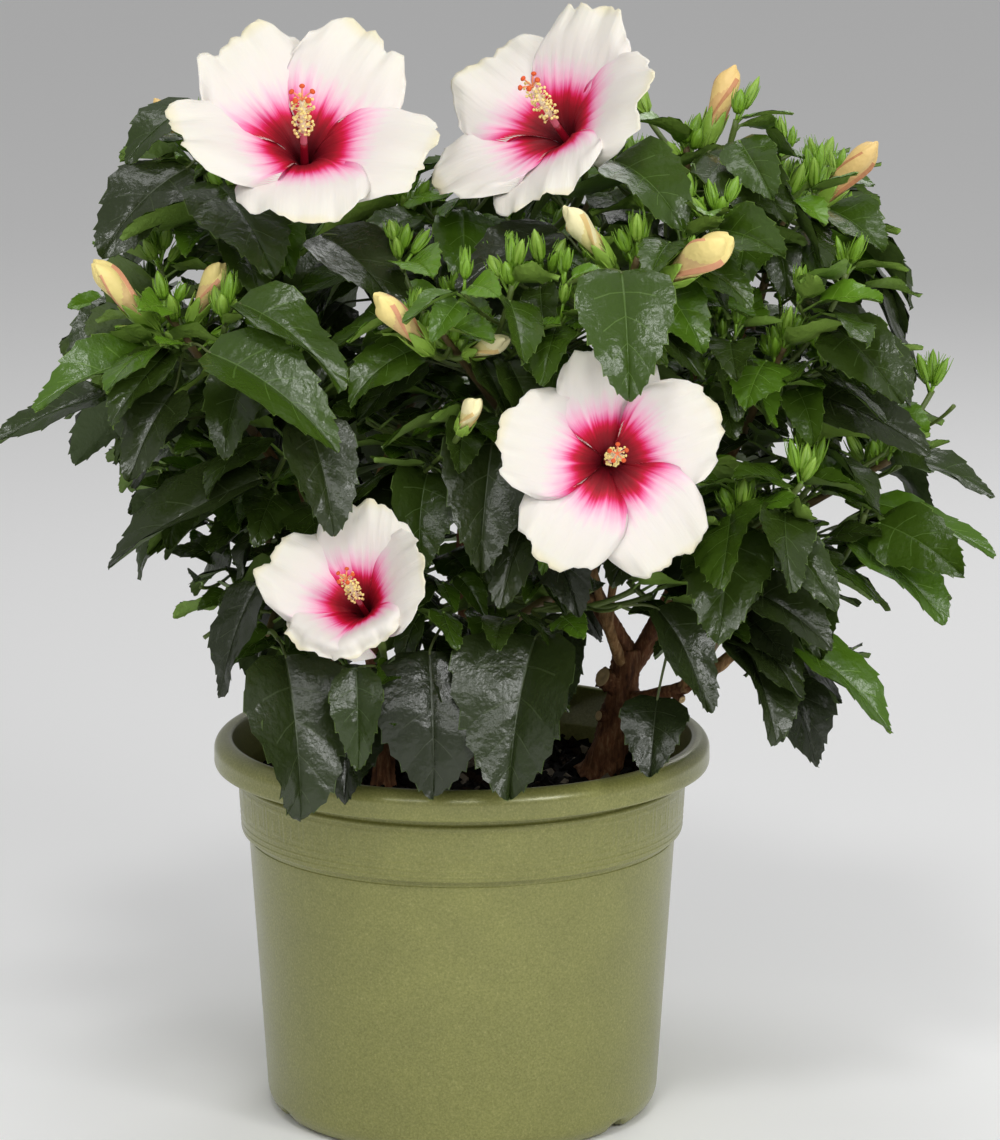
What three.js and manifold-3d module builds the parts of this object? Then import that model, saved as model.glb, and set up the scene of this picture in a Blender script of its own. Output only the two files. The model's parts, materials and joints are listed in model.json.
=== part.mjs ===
// A potted hibiscus shrub: an olive plastic pot filled with potting mix, four woody stems, the boughs
// that fork from them, one mass of twigs, leaves and buds at the end of each bough, and four large
// open blooms on their own stalks. Millimetres, +Z up, the plant's best side faces -Y.
// The origin is the centre of the pot's flat underside.
import * as THREE from "three";
import { mergeVertices } from "three/addons/utils/BufferGeometryUtils.js";
import Module from "manifold-3d";

const wasm = await Module();
wasm.setup();
const { Manifold, Mesh: ManifoldMesh } = wasm;

// ---- Driving dimensions ---------------------------------------------------------------------------

const DEG = Math.PI / 180;
const GAP = 0.3; // between solids that meet
const UP = new THREE.Vector3(0, 0, 1);

const POT = {
  height: 196,
  wall: 2.6,
  floor: 4,
  footRadius: 92, // flat underside
  cornerRadius: 101, // where the rounded corner ends
  cornerHeight: 12,
  bodyRadius: 109.2, // top of the tapered body
  bodyHeight: 140,
  collarLow: [113.2, 147], // radius and height of the collar's lower edge
  collarHigh: [115.2, 180],
  lip: [127, 181.5], // lower outer edge of the rolled rim
  rimWidth: 10,
  sides: 32,
  drains: 6,
  drainTurn: 24, // degrees, of the first drain notch
};
const SOIL_HEIGHT = 168;
const SOIL_SIDES = 18;

// Leaf blade: ovate, widest low down, folded up a little along its midrib.
const LEAF = {
  length: 90,
  widthShare: 0.62, // full width over length
  thickness: 1.3,
  fold: 16, // degrees that each half rises from the midrib
  shoulder: [0.3, 0.95], // share of the length, share of the half width
  flank: [0.68, 0.72],
  middle: 0.42,
  petioleRadius: 1.3, // where it meets the blade
  sunk: 0.8, // how far past a twig's middle a leaf starts
  petiole: [9, 5.5, 29], // length at the shoot's tip, growth per leaf, longest
};
const LEAF_CLEARANCE = 0.5;
// How far the crown reaches at each height: [height, left, right, front and back].
const CROWN = [
  [184, -120, 150, 150],
  [215, -122, 214, 165],
  [262, -128, 222, 190],
  [277, -180, 244, 200],
  [300, -182, 274, 212],
  [345, -234, 274, 212],
  [395, -216, 232, 208],
  [445, -190, 226, 196],
  [497, -170, 208, 176],
  [530, -164, 172, 156],
  [558, -150, 150, 140],
];

// reach: how far the rim stands out, as a share of the petal's length, at each step round a petal,
// starting where two petals meet.
const PETAL = { length: 71, thickness: 1.5, count: 5, claw: 1, rows: 3, reach: [0.74, 0.95, 1, 0.95], dish: 7 };
const COLUMN = { length: 56, radius: 1.7, stigmaRadius: 4 };

// ---- Limbs: stems rise from the mix, limbs fork from them -----------------------------------------
// from: a point on the mix, or [parent, share of its length]; to: the tip; radius: foot and tip;
// bow: how far the middle bends away from the straight line, in x and y.

const LIMBS = {
  trunk: { from: [68, 15], to: [85, 10, 238], radius: [9.6, 7.2], bow: [3, 0], flare: 1.3 },
  stem_left: { from: [-40, -4], to: [-62, -14, 318], radius: [5.2, 3.8], bow: [6, 6], flare: 1.3 },
  stem_thin: { from: [-54, 10], to: [-84, 34, 282], radius: [3.4, 2.6], bow: [5, 0], flare: 1.3 },
  stem_back: { from: [14, 52], to: [6, 62, 330], radius: [7.4, 5], bow: [-6, 4], flare: 1.3 },
  limb_centre: { from: ["trunk", 0.97], to: [52, -30, 345], radius: [5, 3.8], bow: [-8, -4] },
  limb_right: { from: ["trunk", 0.8], to: [122, 0, 335], radius: [5.2, 3.9], bow: [10, 4] },
  limb_low: { from: ["trunk", 0.62], to: [124, -42, 236], radius: [3.6, 2.8], bow: [6, -4] },
};

// ---- Masses ---------------------------------------------------------------------------------------
// on: limb and share of its length where the bough leaves; crest: where the mass's leading shoot ends;
// shoots: side shoots; buds: green buds in each rosette; turn: compass turn of the first leaf, degrees;
// droop: how much lower than usual its shoots and leaves point, degrees.

const MASSES = {
  left_front: { on: ["stem_left", 0.74], crest: [-145, -62, 424], shoots: 3, buds: 7, turn: 200, seed: 11 },
  upper_left: { on: ["stem_left", 0.98], crest: [-120, 18, 488], shoots: 3, buds: 2, turn: 250, seed: 12 },
  upper_centre: { on: ["stem_back", 0.98], crest: [-28, -6, 470], shoots: 3, buds: 3, turn: 280, seed: 13 },
  centre: { on: ["limb_centre", 0.8], crest: [-8, -130, 424], shoots: 3, buds: 6, turn: 300, seed: 14 },
  centre_right: { on: ["limb_centre", 0.98], crest: [86, -110, 458], shoots: 3, buds: 7, turn: 265, seed: 15 },
  top_right: { on: ["limb_right", 0.98], crest: [112, -20, 500], shoots: 3, buds: 6, turn: 262, seed: 16 },
  right_shoulder: { on: ["limb_right", 0.86], crest: [166, 0, 474], shoots: 3, buds: 4, turn: 320, seed: 17 },
  right_middle: { on: ["limb_right", 0.7], crest: [158, -86, 410], shoots: 3, buds: 4, turn: 300, seed: 18 },
  far_right: { on: ["limb_right", 0.5], crest: [214, -36, 344], shoots: 3, buds: 2, turn: 330, seed: 19 },
  far_right_low: { on: ["limb_low", 0.95], crest: [190, -22, 286], shoots: 2, buds: 0, turn: 345, seed: 20 },
  right_lower: { on: ["limb_right", 0.32], crest: [136, -116, 332], shoots: 3, buds: 3, turn: 290, seed: 21 },
  low_right: { on: ["limb_low", 0.6], crest: [136, -84, 276], shoots: 3, buds: 0, turn: 310, seed: 22 },
  low_centre: { on: ["limb_centre", 0.25], crest: [22, -112, 274], shoots: 3, buds: 0, turn: 262, droop: 22, seed: 23 },
  middle: { on: ["limb_centre", 0.55], crest: [-26, -112, 352], shoots: 3, buds: 0, turn: 250, seed: 24 },
  low_left_front: { on: ["stem_left", 0.32], crest: [-30, -116, 254], shoots: 3, buds: 0, turn: 272, droop: 22, seed: 25 },
  left_lower: { on: ["stem_left", 0.55], crest: [-122, -62, 334], shoots: 3, buds: 0, turn: 205, seed: 26 },
  left_hang: { on: ["stem_thin", 0.84], crest: [-96, -74, 264], shoots: 3, buds: 0, turn: 230, droop: 20, seed: 27 },
  heart: { on: ["stem_left", 0.86], crest: [-16, -58, 396], shoots: 3, buds: 0, turn: 300, seed: 33 },
  back_left: { on: ["stem_thin", 0.98], crest: [-146, 92, 386], shoots: 3, buds: 3, turn: 120, seed: 28 },
  back_left_top: { on: ["stem_back", 0.9], crest: [-72, 106, 464], shoots: 3, buds: 4, turn: 95, seed: 29 },
  back_right_top: { on: ["stem_back", 0.82], crest: [74, 102, 476], shoots: 3, buds: 4, turn: 70, seed: 30 },
  back_right: { on: ["stem_back", 0.62], crest: [154, 98, 382], shoots: 3, buds: 3, turn: 30, seed: 31 },
  back_low: { on: ["stem_back", 0.42], crest: [6, 148, 312], shoots: 3, buds: 0, turn: 90, seed: 32 },
};
const STEM_SUNK = 6; // how far below the mix a stem's line starts, before it is cut level
const BOUGH_SHARE = 0.55; // of the way from the limb to the crest; the leading shoot is the rest
const BOUGH_RADIUS = [3.3, 2.4];
const SHOOT_RADIUS = [3, 2];
const SIDE_SHOOT_RADIUS = [1.4, 1.9]; // narrow where it leaves the leading shoot
const TWIG_SIDES = 3;
const LIMB_SIDES = 7;

// ---- Blooms ---------------------------------------------------------------------------------------
// on: mass and share of its leading shoot; throat: the red eye's centre; faces: outward direction;
// open: degrees from the axis at mid petal; size: share of full size; turn: of the first petal.

const BLOOMS = {
  bloom_left: { on: ["upper_left", 0.25], throat: [-76, -72, 508], faces: [0, -0.64, 0.77], open: 62, size: 1.15, turn: 0 },
  bloom_top: { on: ["upper_centre", 0.35], throat: [47, -52, 514], faces: [-0.5, -0.5, 0.7], open: 64, size: 1.1, turn: -36 },
  bloom_right: { on: ["centre_right", 0.12], throat: [72, -163, 368], faces: [0.14, -0.97, 0.2], open: 78, size: 0.92, turn: -36 },
  bloom_low: { on: ["low_left_front", 0.1], throat: [-48, -150, 296], faces: [-0.3, -0.78, 0.5], open: 52, size: 0.87, turn: -36 },
};
const THROAT_HEIGHT = 20; // of the red eye above the petals' foot

// Large buds that show their petals. on: mass; tip: where the bud ends; length: of bud and calyx.
const LARGE_BUDS = {
  bud_far_left: { on: "left_front", tip: [-179, -66, 448], length: 46 },
  bud_left: { on: "left_front", tip: [-117, -70, 448], length: 36 },
  bud_centre: { on: "centre", tip: [-38, -156, 446], length: 46 },
  bud_centre_small: { on: "centre", tip: [22, -146, 424], length: 28 },
  bud_middle: { on: "middle", tip: [8, -166, 398], length: 26 },
  bud_centre_right: { on: "centre_right", tip: [52, -128, 484], length: 40 },
  bud_open: { on: "centre_right", tip: [127, -146, 472], length: 50 },
  bud_top: { on: "top_right", tip: [136, -4, 537], length: 44 },
  bud_shoulder: { on: "right_shoulder", tip: [206, -14, 500], length: 50 },
  bud_behind: { on: "top_right", tip: [80, 24, 540], length: 34 },
  bud_upper_left: { on: "upper_left", tip: [-154, 34, 516], length: 30 },
  bud_back: { on: "back_right_top", tip: [60, 132, 516], length: 42 },
  bud_back_left: { on: "back_left_top", tip: [-96, 132, 500], length: 42 },
};

const COLOURS = {
  pot: new THREE.MeshStandardMaterial({ color: 0x7f834c, roughness: 0.42, metalness: 0.1 }),
  mix: new THREE.MeshStandardMaterial({ color: 0x1d1714, roughness: 0.98, metalness: 0 }),
  bark: new THREE.MeshStandardMaterial({ color: 0x6b4630, roughness: 0.9, metalness: 0 }),
  leaf: new THREE.MeshStandardMaterial({ color: 0x27401a, roughness: 0.35, metalness: 0 }),
  petal: new THREE.MeshStandardMaterial({ color: 0xf6f0e6, roughness: 0.6, metalness: 0 }),
};

// ---- Small maths ----------------------------------------------------------------------------------

const vector = ([x, y, z]) => new THREE.Vector3(x, y, z);
const mix = (a, b, share) => a + (b - a) * share;
const clamp = (x, low, high) => Math.min(high, Math.max(low, x));

// A repeatable stream of numbers from 0 to 1.
function seeded(seed) {
  let state = (Math.imul(seed, 2654435761) + 12345) >>> 0;
  return () => {
    state = (Math.imul(state, 1664525) + 1013904223) >>> 0;
    return state / 4294967296;
  };
}

// The direction with this compass turn (0 is +X, 90 is +Y) and this pitch above the level, in degrees.
function direction(turn, pitch) {
  const flat = Math.cos(pitch * DEG);
  return new THREE.Vector3(Math.cos(turn * DEG) * flat, Math.sin(turn * DEG) * flat, Math.sin(pitch * DEG));
}

const turnOf = (v) => Math.atan2(v.y, v.x) / DEG;

// ---- Solids ---------------------------------------------------------------------------------------

function solidOf(geometry) {
  const bare = new THREE.BufferGeometry();
  bare.setAttribute("position", (geometry.index ? geometry.toNonIndexed() : geometry).getAttribute("position"));
  const merged = mergeVertices(bare, 1e-4);
  const corners = [];
  for (let i = 0; i < merged.index.count; i += 3) {
    const [a, b, c] = [0, 1, 2].map((k) => merged.index.getX(i + k));
    if (a !== b && b !== c && c !== a) corners.push(a, b, c);
  }
  const made = (order) =>
    new Manifold(
      new ManifoldMesh({
        numProp: 3,
        vertProperties: new Float32Array(merged.attributes.position.array),
        triVerts: new Uint32Array(order),
      }),
    );
  const solid = made(corners);
  return solid.volume() < 0 ? made(corners.reverse()) : solid;
}

function geometryOf(solid) {
  const mesh = solid.getMesh();
  const geometry = new THREE.BufferGeometry();
  geometry.setAttribute("position", new THREE.BufferAttribute(mesh.vertProperties, 3));
  geometry.setIndex(new THREE.BufferAttribute(mesh.triVerts, 1));
  geometry.computeVertexNormals();
  return geometry;
}

// The largest of a solid's separate pieces: a scrap that a cut left loose is dropped.
function largest(solid) {
  return solid.decompose().sort((a, b) => b.volume() - a.volume())[0];
}

// Sideways and upward axes across a path that runs along `along`.
function across(along) {
  const side = new THREE.Vector3().crossVectors(along, Math.abs(along.z) < 0.9 ? UP : new THREE.Vector3(1, 0, 0));
  side.normalize();
  return [side, new THREE.Vector3().crossVectors(side, along).normalize()];
}

// A closed tapering tube along a curve, from share `start` to share `end` of it.
function tube(curve, radii, sides, steps, start = 0, end = 1) {
  const [, first] = across(curve.getTangent(start));
  const corners = [];
  for (let j = 0; j <= steps; j++) {
    const place = mix(start, end, j / steps);
    const along = curve.getTangent(place);
    const side = new THREE.Vector3().crossVectors(along, first).normalize();
    const rise = new THREE.Vector3().crossVectors(side, along);
    for (let i = 0; i < sides; i++) {
      const around = (i * 360 * DEG) / sides;
      const point = curve.getPoint(place).addScaledVector(side, Math.cos(around) * radii(j / steps));
      corners.push(point.addScaledVector(rise, Math.sin(around) * radii(j / steps)));
    }
  }
  const faces = [];
  for (let j = 0; j < steps; j++) {
    for (let i = 0; i < sides; i++) {
      const [a, b] = [j * sides + i, j * sides + ((i + 1) % sides)];
      faces.push([a, b, b + sides], [a, b + sides, a + sides]);
    }
  }
  const last = steps * sides;
  for (let i = 1; i < sides - 1; i++) faces.push([0, i + 1, i], [last, last + i, last + i + 1]);
  return solidFrom(corners, faces);
}

function solidFrom(corners, faces) {
  const geometry = new THREE.BufferGeometry().setFromPoints(corners);
  geometry.setIndex(faces.flat());
  return solidOf(geometry);
}

const taper = (foot, tip) => (share) => mix(foot, tip, share);

// A solid of revolution about `along`, standing on `foot`; outline holds [radius, height] pairs.
function turned(outline, sides, foot, along) {
  const geometry = new THREE.LatheGeometry(outline.map(([r, h]) => new THREE.Vector2(r, h)), sides);
  geometry.applyQuaternion(new THREE.Quaternion().setFromUnitVectors(new THREE.Vector3(0, 1, 0), along));
  geometry.translate(foot.x, foot.y, foot.z);
  return solidOf(geometry);
}

// ---- Room: what is already placed, and whether a new piece is clear of it --------------------------

const placed = [];

function facesOf(solid) {
  const mesh = solid.getMesh();
  const faces = new Float64Array(mesh.triVerts.length * 3);
  mesh.triVerts.forEach((corner, i) => {
    for (let k = 0; k < 3; k++) faces[i * 3 + k] = mesh.vertProperties[corner * mesh.numProp + k];
  });
  return faces;
}

function boxOf(faces, first = 0, last = faces.length) {
  const box = [Infinity, Infinity, Infinity, -Infinity, -Infinity, -Infinity];
  for (let i = first; i < last; i++) {
    box[i % 3] = Math.min(box[i % 3], faces[i]);
    box[3 + (i % 3)] = Math.max(box[3 + (i % 3)], faces[i]);
  }
  return box;
}

const apart = (a, b) => [0, 1, 2].some((k) => a[k] > b[k + 3] || b[k] > a[k + 3]);

function place(node, kind, solid) {
  const faces = facesOf(solid);
  const boxes = [];
  for (let i = 0; i < faces.length; i += 9) boxes.push(boxOf(faces, i, i + 9));
  placed.push({ node, kind, faces, boxes, box: boxOf(faces) });
}

// Whether the line from corner p to corner q of one face goes through the face that starts at t.
function pierces(a, p, q, b, t) {
  const [dx, dy, dz] = [a[q] - a[p], a[q + 1] - a[p + 1], a[q + 2] - a[p + 2]];
  const [ex, ey, ez] = [b[t + 3] - b[t], b[t + 4] - b[t + 1], b[t + 5] - b[t + 2]];
  const [fx, fy, fz] = [b[t + 6] - b[t], b[t + 7] - b[t + 1], b[t + 8] - b[t + 2]];
  const [hx, hy, hz] = [dy * fz - dz * fy, dz * fx - dx * fz, dx * fy - dy * fx];
  const slope = ex * hx + ey * hy + ez * hz;
  if (Math.abs(slope) < 1e-9) return false;
  const [sx, sy, sz] = [a[p] - b[t], a[p + 1] - b[t + 1], a[p + 2] - b[t + 2]];
  const u = (sx * hx + sy * hy + sz * hz) / slope;
  if (u < 0 || u > 1) return false;
  const [qx, qy, qz] = [sy * ez - sz * ey, sz * ex - sx * ez, sx * ey - sy * ex];
  const v = (dx * qx + dy * qy + dz * qz) / slope;
  if (v < 0 || u + v > 1) return false;
  const share = (fx * qx + fy * qy + fz * qz) / slope;
  return share >= 0 && share <= 1;
}

function facesMeet(a, i, b, j) {
  for (let k = 0; k < 3; k++) {
    const next = ((k + 1) % 3) * 3;
    if (pierces(a, i + k * 3, i + next, b, j) || pierces(b, j + k * 3, j + next, a, i)) return true;
  }
  return false;
}

// Whether a solid is clear of every placed piece that `counts` picks out.
function isClear(solid, counts) {
  const faces = facesOf(solid);
  const box = boxOf(faces);
  const near = placed.filter((other) => counts(other) && !apart(box, other.box));
  for (let i = 0; i < faces.length; i += 9) {
    const own = boxOf(faces, i, i + 9);
    for (const other of near) {
      if (apart(own, other.box)) continue;
      for (let j = 0; j < other.boxes.length; j++) {
        if (!apart(own, other.boxes[j]) && facesMeet(faces, i, other.faces, j * 9)) return false;
      }
    }
  }
  return true;
}

// ---- Pot and mix ----------------------------------------------------------------------------------

function potOutline() {
  const { collarLow, collarHigh, lip, height, wall, rimWidth } = POT;
  const cornerSteps = [0.5];
  const corner = cornerSteps.map((s) => [
    mix(POT.footRadius, POT.cornerRadius, Math.sin(s * 90 * DEG)),
    POT.cornerHeight * (1 - Math.cos(s * 90 * DEG)),
  ]);
  const outside = [
    [POT.footRadius, 0],
    ...corner,
    [POT.cornerRadius, POT.cornerHeight],
    [POT.bodyRadius, POT.bodyHeight],
    collarLow,
    collarHigh,
    lip,
    [lip[0] - 0.8, lip[1] + 8],
    [lip[0] - 5, height],
    [lip[0] - rimWidth, height - 2],
  ];
  const inside = [
    [collarHigh[0] - wall, collarHigh[1] - 2],
    [collarLow[0] - wall, collarLow[1]],
    [POT.bodyRadius - wall, POT.bodyHeight],
    [POT.cornerRadius - wall, POT.cornerHeight + 2],
    [POT.footRadius - wall, POT.floor],
  ];
  return { outside, inside };
}

function makePot() {
  const { outside, inside } = potOutline();
  const shell = turned([[0, 0], ...outside, ...inside, [0, POT.floor]], POT.sides, new THREE.Vector3(), UP);
  const notches = Array.from({ length: POT.drains }, (_, i) => {
    const notch = new THREE.BoxGeometry(24, 13, 12);
    notch.translate(POT.footRadius + 6, 0, 0);
    notch.rotateZ((POT.drainTurn + (i * 360) / POT.drains) * DEG);
    return solidOf(notch);
  });
  return shell.subtract(Manifold.union(notches));
}

function makeMix() {
  const { inside } = potOutline();
  const walls = inside.map(([radius, height]) => [radius - 2 * GAP, Math.max(height, POT.floor + GAP)]);
  const [top, ...lower] = walls;
  const share = (SOIL_HEIGHT - lower[0][1]) / (top[1] - lower[0][1]);
  const outline = [[0, SOIL_HEIGHT], [mix(lower[0][0], top[0], share), SOIL_HEIGHT], ...lower, [0, POT.floor + GAP]];
  return turned(outline, SOIL_SIDES, new THREE.Vector3(), UP);
}

// ---- Limbs and boughs -----------------------------------------------------------------------------

const ways = {}; // name: {curve, radii}

// A curve whose middle is bowed sideways from the straight line.
function bowed(from, to, bow) {
  const middle = from.clone().lerp(to, 0.5).add(new THREE.Vector3(bow[0], bow[1], 0));
  return new THREE.CatmullRomCurve3([from, middle, to], false, "centripetal");
}

function limbCurve({ from, to, bow }) {
  const start = typeof from[0] === "string"
    ? ways[from[0]].curve.getPoint(from[1])
    : new THREE.Vector3(from[0], from[1], SOIL_HEIGHT - STEM_SUNK);
  return bowed(start, vector(to), bow);
}

function limbRadii({ radius: [foot, tip], flare = 1 }) {
  return (share) => mix(foot, tip, share) * (1 + (flare - 1) * Math.max(0, 1 - share * 9) ** 2);
}

// A stem is cut flat on the mix.
function levelled(curve, radii, sides, steps) {
  const ground = new THREE.BoxGeometry(60, 60, 40);
  const foot = curve.getPoint(0);
  ground.translate(foot.x, foot.y, SOIL_HEIGHT + GAP - 20);
  return tube(curve, radii, sides, steps).subtract(solidOf(ground));
}

// The way from a limb to a mass's crest leaves the limb steeply and bends out.
function massCurve({ on: [limb, share], crest }) {
  const start = ways[limb].curve.getPoint(share);
  const end = vector(crest);
  const reach = start.distanceTo(end);
  const outward = end.clone().sub(start).setZ(0).multiplyScalar(0.5);
  const rise = Math.max(0.5 * (end.z - start.z), 0.22 * reach);
  const bend = start.clone().add(outward).add(new THREE.Vector3(0, 0, rise));
  return new THREE.QuadraticBezierCurve3(start, bend, end);
}

const limbNodes = [];

// Adds a limb, cut 0.3 mm clear of every limb that is already there.
function addLimb(name, solid, curve, radii) {
  let free = solid;
  for (const other of limbNodes) {
    const reach = other.thick.intersect(free);
    if (!reach.isEmpty()) free = free.subtract(other.thick);
  }
  free = largest(free);
  ways[name] = { curve, radii };
  limbNodes.push({ name, solid: free, thick: fattened(curve, radii) });
  place(name, "limb", free);
}

function fattened(curve, radii, start = 0, end = 1) {
  return tube(curve, (share) => (radii(share) + GAP) / Math.cos(Math.PI / LIMB_SIDES), LIMB_SIDES, 4, start, end);
}

function addLimbs() {
  for (const [name, limb] of Object.entries(LIMBS)) {
    const curve = limbCurve(limb);
    const radii = limbRadii(limb);
    const rooted = typeof limb.from[0] !== "string";
    const solid = rooted ? levelled(curve, radii, LIMB_SIDES, 5) : tube(curve, radii, LIMB_SIDES, 4);
    addLimb(name, solid, curve, radii);
  }
  for (const [name, mass] of Object.entries(MASSES)) {
    const curve = massCurve(mass);
    const clip = GAP / curve.getLength();
    const solid = tube(curve, taper(...BOUGH_RADIUS), 5, 2, 0, BOUGH_SHARE - clip);
    ways[name] = { curve, radii: taper(...SHOOT_RADIUS) };
    addBough("bough_" + name, solid, curve);
  }
}

function addBough(name, solid, curve) {
  let free = solid;
  for (const other of limbNodes) {
    if (!other.thick.intersect(free).isEmpty()) free = free.subtract(other.thick);
  }
  free = largest(free);
  const thick = fattened(curve, taper(...BOUGH_RADIUS), 0, BOUGH_SHARE);
  limbNodes.push({ name, solid: free, thick });
  place(name, "limb", free);
}

// ---- Blooms ---------------------------------------------------------------------------------------

// The angle between a petal and the bloom's axis at share u of the petal's length.
function petalAngle(u, open) {
  const flare = clamp(u / 0.42, 0, 1);
  return mix(14, open, flare * flare * (3 - 2 * flare)) + (14 * Math.max(0, u - 0.6)) / 0.4;
}

// The petal's middle line at share u: its distance from the axis, and its height along the axis.
function petalLine(u, open, size) {
  const steps = 12;
  let [out, height] = [PETAL.claw * size, 0];
  for (let i = 0; i < steps; i++) {
    const angle = petalAngle(((i + 0.5) / steps) * u, open) * DEG;
    out += (Math.sin(angle) * PETAL.length * size * u) / steps;
    height += (Math.cos(angle) * PETAL.length * size * u) / steps;
  }
  return [out, height];
}

// The five petals as one closed sheet, notched where two petals meet at the rim.
function makeCorolla(basis, { open, size, turn }) {
  const columns = PETAL.count * PETAL.reach.length;
  const spot = (column, row, lift) => {
    const across = column % PETAL.reach.length;
    const u = (row / PETAL.rows) * PETAL.reach[across];
    const [out, height] = petalLine(u, open, size);
    const around = (turn + (column * 360) / columns) * DEG;
    const edge = PETAL.reach.length / 2;
    const dish = PETAL.dish * size * u * ((across - edge) / edge) ** 2;
    const point = new THREE.Vector3(Math.cos(around) * out, Math.sin(around) * out, height + dish + lift);
    return point.applyMatrix4(basis);
  };
  const corners = [];
  for (const lift of [PETAL.thickness / 2, -PETAL.thickness / 2]) {
    corners.push(new THREE.Vector3(0, 0, lift).applyMatrix4(basis));
    for (let row = 1; row <= PETAL.rows; row++) {
      for (let column = 0; column < columns; column++) corners.push(spot(column, row, lift));
    }
  }
  const under = 1 + PETAL.rows * columns;
  const faces = [];
  for (let column = 0; column < columns; column++) {
    const next = (column + 1) % columns;
    faces.push([0, 1 + column, 1 + next], [under, under + 1 + next, under + 1 + column]);
    for (let row = 0; row < PETAL.rows - 1; row++) {
      const [a, b] = [1 + row * columns + column, 1 + row * columns + next];
      const [c, d] = [a + columns, b + columns];
      faces.push([a, c, d], [a, d, b], [under + a, under + d, under + c], [under + a, under + b, under + d]);
    }
    const [a, b] = [1 + (PETAL.rows - 1) * columns + column, 1 + (PETAL.rows - 1) * columns + next];
    faces.push([a, under + a, under + b], [a, under + b, b]);
  }
  return solidFrom(corners, faces);
}

// A bloom's own frame: +Z out of its face, +X towards the top of it.
function bloomFrame(axis, foot) {
  const [side, rise] = across(axis);
  return new THREE.Matrix4().makeBasis(rise, side, axis).setPosition(foot);
}

function makeBloom(name, bloom) {
  const { on: [mass, share], throat, faces, size } = bloom;
  const axis = vector(faces).normalize();
  const foot = vector(throat).addScaledVector(axis, -THROAT_HEIGHT * size);
  const parts = [makeCorolla(bloomFrame(axis, foot), bloom), ...makeColumn(foot, axis, size), makeCalyx(foot, axis, size)];
  const leader = ways[mass].curve;
  const start = leader.getPoint(mix(BOUGH_SHARE, 1, share));
  parts.push(tube(stalkCurve(start, foot, axis), taper(1.5, 1.9), 4, 4));
  const solid = largest(Manifold.union(parts).subtract(fattened(leader, ways[mass].radii, BOUGH_SHARE, 1)));
  if (!isClear(solid, () => true)) console.error(name + ": touches something");
  place(name, "bloom", solid);
  return solid;
}

// A flower stalk leaves its shoot level, then rises to meet the bloom along its axis.
function stalkCurve(start, foot, axis) {
  const reach = start.distanceTo(foot);
  const out = foot.clone().sub(start).setZ(0).normalize().multiplyScalar(reach * 0.35).add(start);
  const back = foot.clone().addScaledVector(axis, -reach * 0.35);
  const end = foot.clone().addScaledVector(axis, 2);
  return new THREE.CubicBezierCurve3(start, out, back, end);
}

function makeColumn(foot, axis, size) {
  const end = foot.clone().addScaledVector(axis, COLUMN.length * size).addScaledVector(UP, 5 * size);
  const curve = new THREE.QuadraticBezierCurve3(foot, foot.clone().addScaledVector(axis, 30 * size), end);
  const parts = [tube(curve, taper(COLUMN.radius * 1.5, COLUMN.radius * 0.8), 4, 2)];
  const stigma = [[0, -5], [COLUMN.stigmaRadius * size, 0], [0, 1.5]];
  parts.push(turned(stigma, 5, end, axis));
  return parts;
}

function makeCalyx(foot, axis, size) {
  const outline = [[0, -4], [4.6, -2], [6.6, 5], [0, 10]];
  return turned(outline.map(([r, h]) => [r * size, h * size]), 6, foot, axis);
}

// ---- Leaves, twigs and buds -----------------------------------------------------------------------

// How leaf number i, counted down from the shoot's tip, grows: young ones stand up, old ones hang.
function leafHabit(i, random, droop) {
  const petiolePitch = Math.max(48 - 12 * i, 2) + (random() - 0.5) * 18;
  const startPitch = Math.max(18 - 20 * i, -34) - droop + (random() - 0.5) * 22;
  const curl = Math.min(24 + 8 * i, 44) + (random() - 0.5) * 16;
  const roll = (random() - 0.5) * 50;
  const length = LEAF.length * Math.min(1, 0.5 + 0.16 * i) * mix(0.84, 1.1, random());
  const width = length * LEAF.widthShare * mix(0.92, 1.1, random());
  const [shortest, growth, longest] = LEAF.petiole;
  const petiole = Math.min(shortest + growth * i, longest) * mix(0.85, 1.15, random());
  const young = i === 0;
  return { young, petiolePitch, startPitch, curl, roll, length: young ? length + petiole : length, width, petiole };
}

// The point at share u along the blade and v across it (-1..1), lifted along the blade's normal.
function bladePoint(root, turn, habit, u, v, lift = 0) {
  const heading = direction(turn, 0);
  const curl = habit.curl * DEG;
  const pitch = habit.startPitch * DEG;
  const now = pitch - curl * u;
  const forward = (habit.length * (Math.sin(pitch) - Math.sin(now))) / curl;
  const upward = (habit.length * (Math.cos(now) - Math.cos(pitch))) / curl;
  const level = new THREE.Vector3(heading.y, -heading.x, 0);
  const along = heading.clone().multiplyScalar(Math.cos(now)).addScaledVector(UP, Math.sin(now));
  const top = new THREE.Vector3().crossVectors(level, along);
  const roll = habit.roll * DEG;
  const side = level.clone().multiplyScalar(Math.cos(roll)).addScaledVector(top, Math.sin(roll));
  const normal = top.clone().multiplyScalar(Math.cos(roll)).addScaledVector(level, -Math.sin(roll));
  const shape = [[0, 0], LEAF.shoulder, LEAF.flank, [1, 0]];
  const next = shape.findIndex(([share]) => share >= u - 1e-9);
  const [lowAt, low] = shape[Math.max(0, next - 1)];
  const [highAt, high] = shape[next];
  const half = (highAt === lowAt ? high : mix(low, high, (u - lowAt) / (highAt - lowAt))) * habit.width * 0.5;
  const fold = LEAF.fold * DEG;
  return root
    .clone()
    .addScaledVector(heading, forward)
    .addScaledVector(UP, upward)
    .addScaledVector(side, v * half * Math.cos(fold))
    .addScaledVector(normal, Math.abs(v) * half * Math.sin(fold) + lift);
}

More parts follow.
